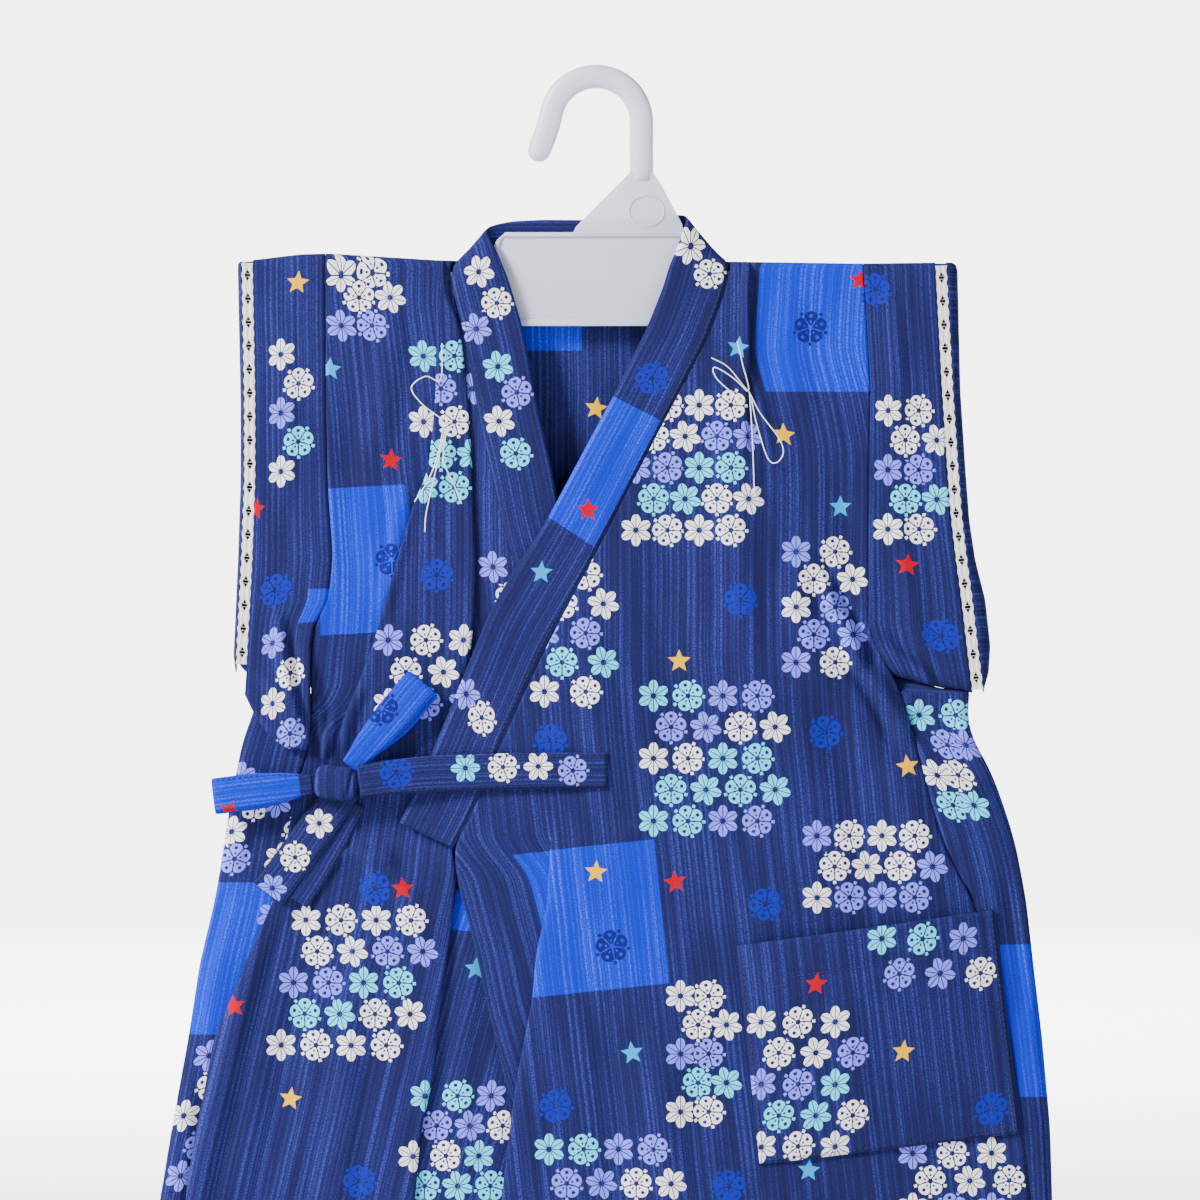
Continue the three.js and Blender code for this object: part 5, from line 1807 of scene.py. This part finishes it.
@dataclass
class Pocket:
    """The patch pocket on the over front: turned hem at its mouth, edge-stitched at its other sides."""

    kit: Kit
    corners: tuple[tuple[float, float], ...] = ((70, -428), (199, -410.5), (81.5, -537), (212, -522))
    clear: float = 1.3
    gape: float = 6.2

    def build(self) -> Object:
        """The pocket and its stitches.

        Returns:
            The pocket.
        """
        tl, tr, bl, br = (np.array(c, float) for c in self.corners)
        v, u = np.meshgrid(np.linspace(0, 1, 45), np.linspace(0, 1, 53), indexing="ij")
        left = tl + (bl - tl) * v[..., None]
        right = tr + (br - tr) * v[..., None]
        xz = left + (right - left) * u[..., None]
        depth = np.array([[self.front_depth(x, z) for x, z in row] for row in xz[::4, ::4]])
        rows = np.linspace(0, 11, 45)
        grid = np.array([np.interp(np.linspace(0, 13, 53), range(14), line) for line in depth])
        grid = np.array([np.interp(rows, range(12), grid[:, c]) for c in range(53)]).T
        stand = self.gape * np.sin(np.pi * np.clip(u, 0, 1)) ** 0.8 * (1 - v) ** 0.8
        points = np.stack([xz[..., 0], grid - self.clear - stand, xz[..., 1]], -1)
        cloth = Cloth("patch_pocket", points, lean=over_lean)
        cloth.press([Crease(86, -446, 196, -430, 4, -0.5), Crease(120, -450, 128, -520, 14, 0.7, 3)])
        figures = [*cluster(132, -416, 202, -451, 2), *cluster(73, -458, 137, -536, 0)]
        figures += stars(Hue.YELLOW, (153, -481)) + stars(Hue.RED, (109.5, -447)) + blooms(Hue.MIDDLE, (197, -510))
        pocket = finish_piece(cloth.mesh(figures), self.kit.cotton)
        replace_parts(pocket, "pocket")
        rows = [
            stitched("pocket_hem_stitches", cloth, [(0.17, 0.02), (0.17, 0.98)], self.kit.navy_thread),
            stitched(
                "pocket_edge_stitches",
                cloth,
                [(0.01, 0.016), (0.984, 0.016), (0.984, 0.984), (0.01, 0.984)],
                self.kit.navy_thread,
            ),
        ]
        for obj in rows:
            finish_piece(obj, self.kit.navy_thread)
        return pocket

    @staticmethod
    def front_depth(x: float, z: float) -> float:
        """Depth of the over front at a point."""
        section = sorted(over_section(z))
        return float(np.interp(x, [p[0] for p in section], [p[1] for p in section]))


def squared_off(v: np.ndarray, power: float) -> np.ndarray:
    """A power that keeps the sign, which makes a round shape boxy."""
    return np.sign(v) * np.abs(v) ** power


@dataclass
class Bow:
    """The tied bow: knot, two loops and two tails of folded, edge-stitched tie."""

    kit: Kit

    def build(self) -> None:
        """All its pieces."""
        side = self.loop("tie_loop_side", (-141, -347.5), (-191, -353.5), 3.0, -12.5, 0.8)
        upper = self.loop("tie_loop_upper", (-122.6, -339), (-86.5, -296), 2.4, -11.3, -2.6)
        level = self.tail(
            "tie_tail_level",
            [
                (-118.2, -15.6, -346.5, 16), (-104, -14.8, -344.4, 17), (-88, -13.9, -343, 18),
                (-75, -12.7, -342.3, 18), (-55, -11.6, -341.6, 18), (-20, -11, -341, 18), (5.5, -10.8, -341, 18),
            ],
        )  # fmt: skip
        lower = self.tail(
            "tie_tail_lower",
            [
                (-124, -7.8, -349, 15), (-130, -7.8, -357, 17), (-137, -8, -366, 18), (-148, -7.8, -381.5, 18),
                (-163.5, -7.6, -402.5, 18),
            ],
        )  # fmt: skip
        behind = self.tail(
            "tie_tail_behind",
            [(-121, -6.5, -356.5, 12), (-129, -6.5, -371, 15), (-143, -6.4, -395, 15), (-150, -6.4, -406, 14)],
        )
        hues = (Hue.CYAN, Hue.WHITE, Hue.WHITE, Hue.LAVENDER)
        row = [
            Figure(-63.6 + 17.8 * i, -341, Shape.PLUM if i % 2 else Shape.HEMP, h, 7.6) for i, h in enumerate(hues)
        ]
        spotted = [
            Figure(-140, -368, Shape.HEMP, Hue.WHITE, 7.6, 20),
            Figure(-151, -385.5, Shape.PLUM, Hue.WHITE, 7.6),
            Figure(-161.5, -400, Shape.HEMP, Hue.LAVENDER, 7.6),
        ]
        jobs = (
            (side, stars(Hue.RED, (-184, -361)), [Block(-190.5, -353.5, 20, 42)], 0.018, 0.125),
            (upper, blooms(Hue.DEEP, (-108, -311)), [Block(-104, -318, 20, 66)], 0.018, 0.125),
            (level, [*row, *blooms(Hue.MIDDLE, (-98, -343))], [], 0.018, 0.125),
            (lower, spotted, [], 0.0175, 0.067),
            (behind, [], [], 0.0145, 0.058),
        )
        for cloth, figures, blocks, wide, long in jobs:
            node = cloth.name
            cloth.name += "_cloth"
            obj = finish_piece(cloth.mesh(figures, blocks), self.kit.cotton)
            if cloth is not behind:
                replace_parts(obj, node)
            edges = [
                stitched(f"{node}_stitches_{i}", cloth, [(0.01, c), (0.99, c)], self.kit.navy_thread, radius=0.2)
                for i, c in enumerate((0.08, 0.92))
            ]
            for stitches in edges:
                finish_piece(stitches, self.kit.navy_thread)
        self.knot()

    @staticmethod
    def band(points: list[Vector], widths: list[float], sides: list[Vector]) -> np.ndarray:
        """Grid of a band from its middle line, widths and sideways directions."""
        shares = np.linspace(-0.5, 0.5, 9)
        grid = np.array([[p + s * (w * f) for f in shares] for p, w, s in zip(points, widths, sides)])
        return smooth(refine(grid, 0, 1.8), 0, 3)

    def tail(self, name: str, path: list[tuple[float, float, float, float]]) -> Cloth:
        """A flat tail along a path of x, y, z and width.

        Args:
            name: The piece's name.
            path: Its stations.

        Returns:
            The cloth.
        """
        points = [Vector(p[:3]) for p in path]
        sides = []
        for i in range(len(points)):
            ahead = points[min(i + 1, len(points) - 1)] - points[max(i - 1, 0)]
            sides.append(Vector((ahead.z, 0, -ahead.x)).normalized())
        return Cloth(name, self.band(points, [p[3] for p in path], sides), thickness=1.2, strip=True)

    def loop(
        self, name: str, root: tuple[float, float], tip: tuple[float, float], fat: float, depth: float, aside: float
    ) -> Cloth:
        """A loop: out in front, round its end and back behind, its back layer this far aside.

        Args:
            name: The piece's name.
            root: Where it leaves the knot.
            tip: Its far end.
            fat: Its thickness.
            depth: Depth of its middle.
            aside: How far the back layer shows beside the front one.

        Returns:
            The cloth.
        """
        axis = Vector((tip[0] - root[0], 0, tip[1] - root[1]))
        length = axis.length
        axis.normalize()
        stations = (
            (0.0, -0.5), (0.25, -0.8), (0.55, -1), (0.85, -1), (0.97, -0.7), (1.0, 0), (0.97, 0.7), (0.85, 1),
            (0.55, 1), (0.25, 0.8), (0.0, 0.5),
        )  # fmt: skip
        points = [
            Vector((root[0], depth + out * fat / 2, root[1])) + axis * (share * length) for share, out in stations
        ]
        widths = [mix(9, 17.5, step(share, 0, 0.45)) for share, _ in stations]
        side = Vector((-axis.z, 0, axis.x))
        points = [
            p + side * (aside * step(out, -0.8, 0.8) * step(share, 0.1, 0.7))
            for p, (share, out) in zip(points, stations)
        ]
        return Cloth(name, self.band(points, widths, [side] * len(points)), thickness=1.2, strip=True)

    def knot(self) -> Object:
        """The knot: tie wrapped over the middle, pinched at its top and bottom edges.

        Returns:
            The knot.
        """
        wide, deep, tall = 21.0, 9.0, 16.5
        rows, columns = 41, 61
        lat = np.linspace(0.02, math.pi - 0.02, rows)[:, None]
        lon = np.linspace(0, 2 * math.pi, columns)[None]
        x = squared_off(np.sin(lat) * np.cos(lon), 0.5) * wide / 2
        y = squared_off(np.sin(lat) * np.sin(lon), 0.6) * deep / 2
        z = squared_off(np.cos(lat) + 0 * lon, 0.5) * tall / 2
        groove = 0.6 * np.exp(-(((x - 7.4 - 0.12 * z) / 0.8) ** 2)) + 0.3 * np.exp(-(((x - 3.4 + 0.3 * z) / 1.2) ** 2))
        shrink = 1 - groove * 0.24
        turn = 0.12
        points = np.stack([x * shrink, y * shrink, z * (1 - groove * 0.05)], -1)
        c, s = math.cos(turn), math.sin(turn)
        px, pz = points[..., 0], points[..., 2]
        points = np.stack([px * c + pz * s, points[..., 1], pz * c - px * s], -1)
        points += (-129.5, -13, -347)
        cloth = Cloth("tie_knot_cloth", points, thickness=0.5, closed=True)
        obj = finish_piece(cloth.mesh(), self.kit.cotton)
        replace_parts(obj, "tie_knot")
        return obj


@dataclass
class Hanger:
    """The moulded hanger: round hook, gusset with an oval ring, plate with its rims, two flat arms."""

    kit: Kit
    plate: float = 2.6
    rim: float = 4.8
    hook_radius: float = 22.75  # to the middle of the bar
    hook_half: tuple[float, float] = (5.9, 3.5)  # half the bar's section, in the hook's plane and out of it
    ring_centre: tuple[float, float] = (25.2, -61.5)
    ring_radii: tuple[float, float] = (8.8, 7.6)

    def build(self) -> Object:
        """The hanger as one piece.

        Returns:
            The hanger.
        """
        bm = bmesh.new()
        self.hook(bm)
        self.slab(bm, [(17.2, -42), (28.4, -42), (33.5, -50), (43, -68), (44, -73.5), (-12, -73.5), (-10, -69.5)], 5.0)
        half = [
            (45.5, -72.4), (49.5, -76), (54, -84), (60, -91), (82, -93), (100, None), (132, None), (148, None),
            (151, -92), (148, -96.5), (100, -101.5), (70, -105), (56, -109), (50, -116), (44, -119),
        ]  # fmt: skip

        def outline(side: int) -> Section:
            """The plate's and the arm's outline at one side; without a height it follows the shoulder."""
            return [(side * x, float(ridge(side * x)) - 1.3 if z is None else z) for x, z in half]

        self.slab(bm, outline(-1)[::-1] + outline(1), self.plate)
        self.slab(bm, [(-45.7, -72.2), (45.7, -72.2), (45.5, -74.4), (-45.5, -74.4)], self.rim)
        self.slab(bm, [(-46.8, -115.6), (46.8, -115.6), (44.2, -119), (-44.2, -119)], self.rim)
        for side in (-1, 1):
            edge = [(side * x, z) for x, z in ((45.6, -72.6), (49.5, -76), (50.5, -84), (49.5, -104), (46.6, -117))]
            inner = [(x - side * 1.6, z) for x, z in edge[::-1]]
            self.slab(bm, edge + inner, self.rim - 0.6)
        self.ring(bm)
        mesh = bpy.data.meshes.new("moulded_hanger")
        bm.to_mesh(mesh)
        bm.free()
        mesh.polygons.foreach_set("use_smooth", [True] * len(mesh.polygons))
        mesh.set_sharp_from_angle(angle=math.radians(42))
        obj = add_to_scene("moulded_hanger", mesh)
        finish_piece(obj, self.kit.hanger)
        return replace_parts(obj, "hanger")

    def slab(self, bm: BMesh, outline: Sequence[tuple[float, float]], thick: float) -> None:
        """A plate of an outline in the front's plane, with softened edges.

        Args:
            bm: The mesh.
            outline: Its corners (x, z).
            thick: Its thickness.
        """
        front = [bm.verts.new(Vector((x, -thick / 2, z)) * MM) for x, z in outline]
        back = [bm.verts.new(Vector((x, thick / 2, z)) * MM) for x, z in outline]
        n = len(outline)
        faces = [bm.faces.new(front), bm.faces.new(back[::-1])]
        faces += [bm.faces.new((front[i], back[i], back[(i + 1) % n], front[(i + 1) % n])) for i in range(n)]
        bmesh.ops.recalc_face_normals(bm, faces=faces)
        edges = list(dict.fromkeys(e for f in faces[:2] for e in f.edges))
        bmesh.ops.bevel(bm, geom=edges, offset=0.45 * MM, segments=2, profile=0.6, affect="EDGES")

    def hook(self, bm: BMesh) -> None:
        """The round hook and its stem, an oval bar with a rounded tip.

        Args:
            bm: The mesh.
        """
        radius = self.hook_radius
        arc = [(radius * math.cos(a), -17 + radius * math.sin(a)) for a in np.linspace(0, math.radians(165), 40)]
        tip = [(-23.6, -18), (-25.6, -24), (-28.2, -30.6), (-29.6, -33.9), (-30.4, -35.7), (-30.7, -36.4)]
        route = [*((radius, z) for z in (-46, -38, -30, -24)), *arc, *tip]
        sizes = [1.0] * (len(route) - 4) + [1.0, 0.86, 0.55, 0.12]
        rings = []
        for i, ((x, z), size) in enumerate(zip(route, sizes)):
            x0, z0 = route[max(i - 1, 0)]
            x1, z1 = route[min(i + 1, len(route) - 1)]
            length = math.hypot(x1 - x0, z1 - z0)
            nx, nz = (z1 - z0) / length, -(x1 - x0) / length
            ring = []
            for a in np.linspace(0, 2 * math.pi, 25)[:-1]:
                out, deep = self.hook_half[0] * size * math.cos(a), self.hook_half[1] * size * math.sin(a)
                ring.append(bm.verts.new(Vector((x + nx * out, deep, z + nz * out)) * MM))
            rings.append(ring)
        faces = self.skin(bm, rings)
        faces += [bm.faces.new(rings[0][::-1]), bm.faces.new(rings[-1])]
        bmesh.ops.recalc_face_normals(bm, faces=faces)

    def ring(self, bm: BMesh) -> None:
        """The raised oval ring on the gusset.

        Args:
            bm: The mesh.
        """
        section = [(-0.6, -2.4), (-0.35, -2.9), (0.35, -2.9), (0.6, -2.4)]
        section += [(-out, -deep) for out, deep in section]
        rings = []
        for a in np.linspace(0, 2 * math.pi, 41)[:-1]:
            ring = []
            for out, deep in section:
                x = self.ring_centre[0] + (self.ring_radii[0] + out) * math.cos(a)
                z = self.ring_centre[1] + (self.ring_radii[1] + out) * math.sin(a)
                ring.append(bm.verts.new(Vector((x, deep, z)) * MM))
            rings.append(ring)
        bmesh.ops.recalc_face_normals(bm, faces=self.skin(bm, rings + rings[:1]))

    @staticmethod
    def skin(bm: BMesh, rings: list[list[BMVert]]) -> list[BMFace]:
        """Quads between rings of vertices that follow each other.

        Args:
            bm: The mesh.
            rings: The rings, each with as many vertices.

        Returns:
            The new faces.
        """
        around = len(rings[0])
        return [
            bm.faces.new((a[k], a[(k + 1) % around], b[(k + 1) % around], b[k]))
            for a, b in zip(rings[:-1], rings[1:])
            for k in range(around)
        ]


@dataclass(frozen=True)
class Thread:
    """A loose end or loop of basting thread, through points (x, y, z)."""

    name: str
    line: tuple[Point, ...]
    diameter: float = 0.55

    def build(self, kit: Kit) -> Object:
        """The thread as a round curve.

        Args:
            kit: The shared materials.

        Returns:
            The thread.
        """
        dense = self.soft_line()
        curve = bpy.data.curves.new(self.name, "CURVE")
        curve.dimensions = "3D"
        curve.bevel_depth = self.diameter / 2 * MM
        curve.bevel_resolution = 2
        curve.use_fill_caps = True
        spline = curve.splines.new("POLY")
        spline.points.add(len(dense) - 1)
        for point, place in zip(spline.points, dense):
            point.co = (*(place * MM), 1)
        obj = add_to_scene(self.name, curve)
        finish_piece(obj, kit.thread)
        return obj

    def soft_line(self) -> np.ndarray:
        """The line through its points, rounded between them.

        Returns:
            The line's points.
        """
        p = np.array(self.line, float)
        p = np.concatenate([[2 * p[0] - p[1]], p, [2 * p[-1] - p[-2]]])
        found = []
        for a, b, c, d in zip(p[:-3], p[1:-2], p[2:-1], p[3:]):
            for t in np.linspace(0, 1, 10)[:-1]:
                found.append(
                    0.5 * (2 * b + (c - a) * t + (2 * a - 5 * b + 4 * c - d) * t**2 + (3 * b - a - 3 * c + d) * t**3)
                )
        return np.array([*found, p[-2]])


# The tack's loops and ends at each shoulder tuck
THREADS = (
    Thread("thread_right_loop", ((-76.8, -8.2, -128), (-77.5, -8.6, -146), (-85, -9.2, -144.5), (-92, -9.4, -150),
                                 (-87, -9.2, -158), (-77, -8.8, -166), (-75.6, -8.6, -171))),
    Thread("thread_right_end_a", ((-76, -9.4, -170), (-79, -9.4, -184), (-83.5, -9.2, -196), (-90.5, -9, -207))),
    Thread("thread_right_end_b", ((-75, -9.6, -170.5), (-80, -9.4, -192), (-84.5, -9.2, -212), (-85.4, -9, -222))),
    Thread("thread_right_end_c", ((-74.4, -9.4, -170), (-76, -9.4, -186), (-71, -9.4, -198), (-67, -9.4, -208))),
    Thread("thread_left_tack", ((70.5, -8.6, -127), (73, -8.8, -138), (76, -9, -151.5), (66, -9.4, -140),
                                (57.5, -9.4, -135.2))),
    Thread("thread_left_loop_a", ((76.2, -9.8, -152), (82, -10, -163), (91, -9.8, -175), (93.4, -9.6, -182.5),
                                  (90, -9.6, -187.5), (85.5, -9.6, -185), (80.2, -9.8, -168.5), (77.5, -9.8, -156))),
    Thread("thread_left_end_a", ((76.6, -9.2, -153), (78, -9.4, -176), (79, -9.4, -204))),
    Thread("thread_left_end_b", ((75.4, -9.4, -152), (68, -9.8, -145), (59, -10, -140), (60.5, -10, -146),
                                 (73, -9.8, -157))),
)  # fmt: skip


@dataclass
class Studio:
    """Pale paper that curves up all round, soft lights and the photo's camera."""

    kit: Kit
    centre: tuple[float, float] = (0.002, -0.256)
    frame_size: float = 0.6
    distance: float = 3.2
    sensor: float = 36
    floor_z: float = -0.66
    ambient: float = 0.15  # kept low, so the key light models the folds

    def build(self) -> None:
        """The stage, the lights, the world and the camera."""
        profile = [(r, 0.0) for r in (0.001, 1, 3, 5.2)]
        profile += [(5.2 + 2 * math.sin(a), 2 - 2 * math.cos(a)) for a in np.linspace(0.12, math.pi / 2, 12)]
        profile.append((7.2, 4.0))
        steps = 64
        vertices = [
            (r * math.cos(a) / MM, r * math.sin(a) / MM, (self.floor_z + h) / MM)
            for r, h in profile
            for a in np.linspace(0, 2 * math.pi, steps + 1)[:-1]
        ]
        stage = new_object("stage_paper", np.array(vertices), tube_faces(len(profile), steps))
        stage.data.materials.append(self.kit.stage)
        self.light("key", (-2.6, -1.5, 1.6), 0.9, 350)
        self.light("fill", (1.9, -2.3, 0.2), 2.0, 10)
        self.light("backdrop", (0, 2.6, 2.6), 3.0, 1250, aim=(0, 6.5, -0.7))
        self.light("back", (-1.2, 2.4, 0.9), 1.6, 45)
        world = bpy.data.worlds.new("studio")
        world.use_nodes = True
        sky = world.node_tree.nodes["Background"].inputs
        sky["Color"].default_value = (1, 1, 1, 1)
        sky["Strength"].default_value = self.ambient
        bpy.context.scene.world = world
        data = bpy.data.cameras.new("photo_camera")
        data.sensor_width = self.sensor
        data.lens = self.sensor * self.distance / self.frame_size
        camera = add_to_scene("photo_camera", data)
        x, z = self.centre
        camera.location = (x, -self.distance, z)
        camera.rotation_euler = (math.pi / 2, 0, 0)
        bpy.context.scene.camera = camera

    def light(self, name: str, place: Point, size: float, power: float, aim: Point = (0, 0, -0.3)) -> None:
        """A large soft light that looks at the garment, or past it at the paper.

        Args:
            name: The light's name.
            place: Where it stands, in metres.
            size: Its side, in metres.
            power: Its power in watts.
            aim: What it looks at.
        """
        data = bpy.data.lights.new(name, "AREA")
        data.size = size
        data.energy = power
        obj = add_to_scene(name, data)
        obj.location = place
        obj.rotation_euler = (Vector(aim) - Vector(place)).to_track_quat("-Z", "Y").to_euler()


def main() -> None:
    """Builds every piece and the studio."""
    logging.basicConfig(level=logging.INFO, format="%(name)s: %(message)s")
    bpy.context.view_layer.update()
    kit = Kit.make()
    Hanger(kit).build()
    Body(kit).build()
    for form in (LEFT_SLEEVE, RIGHT_SLEEVE):
        Sleeves(kit, form).build()
    Pocket(kit).build()
    Bow(kit).build()
    for thread in THREADS:
        thread.build(kit)
    Studio(kit).build()
    bpy.context.view_layer.update()


if __name__ == "__main__":
    main()
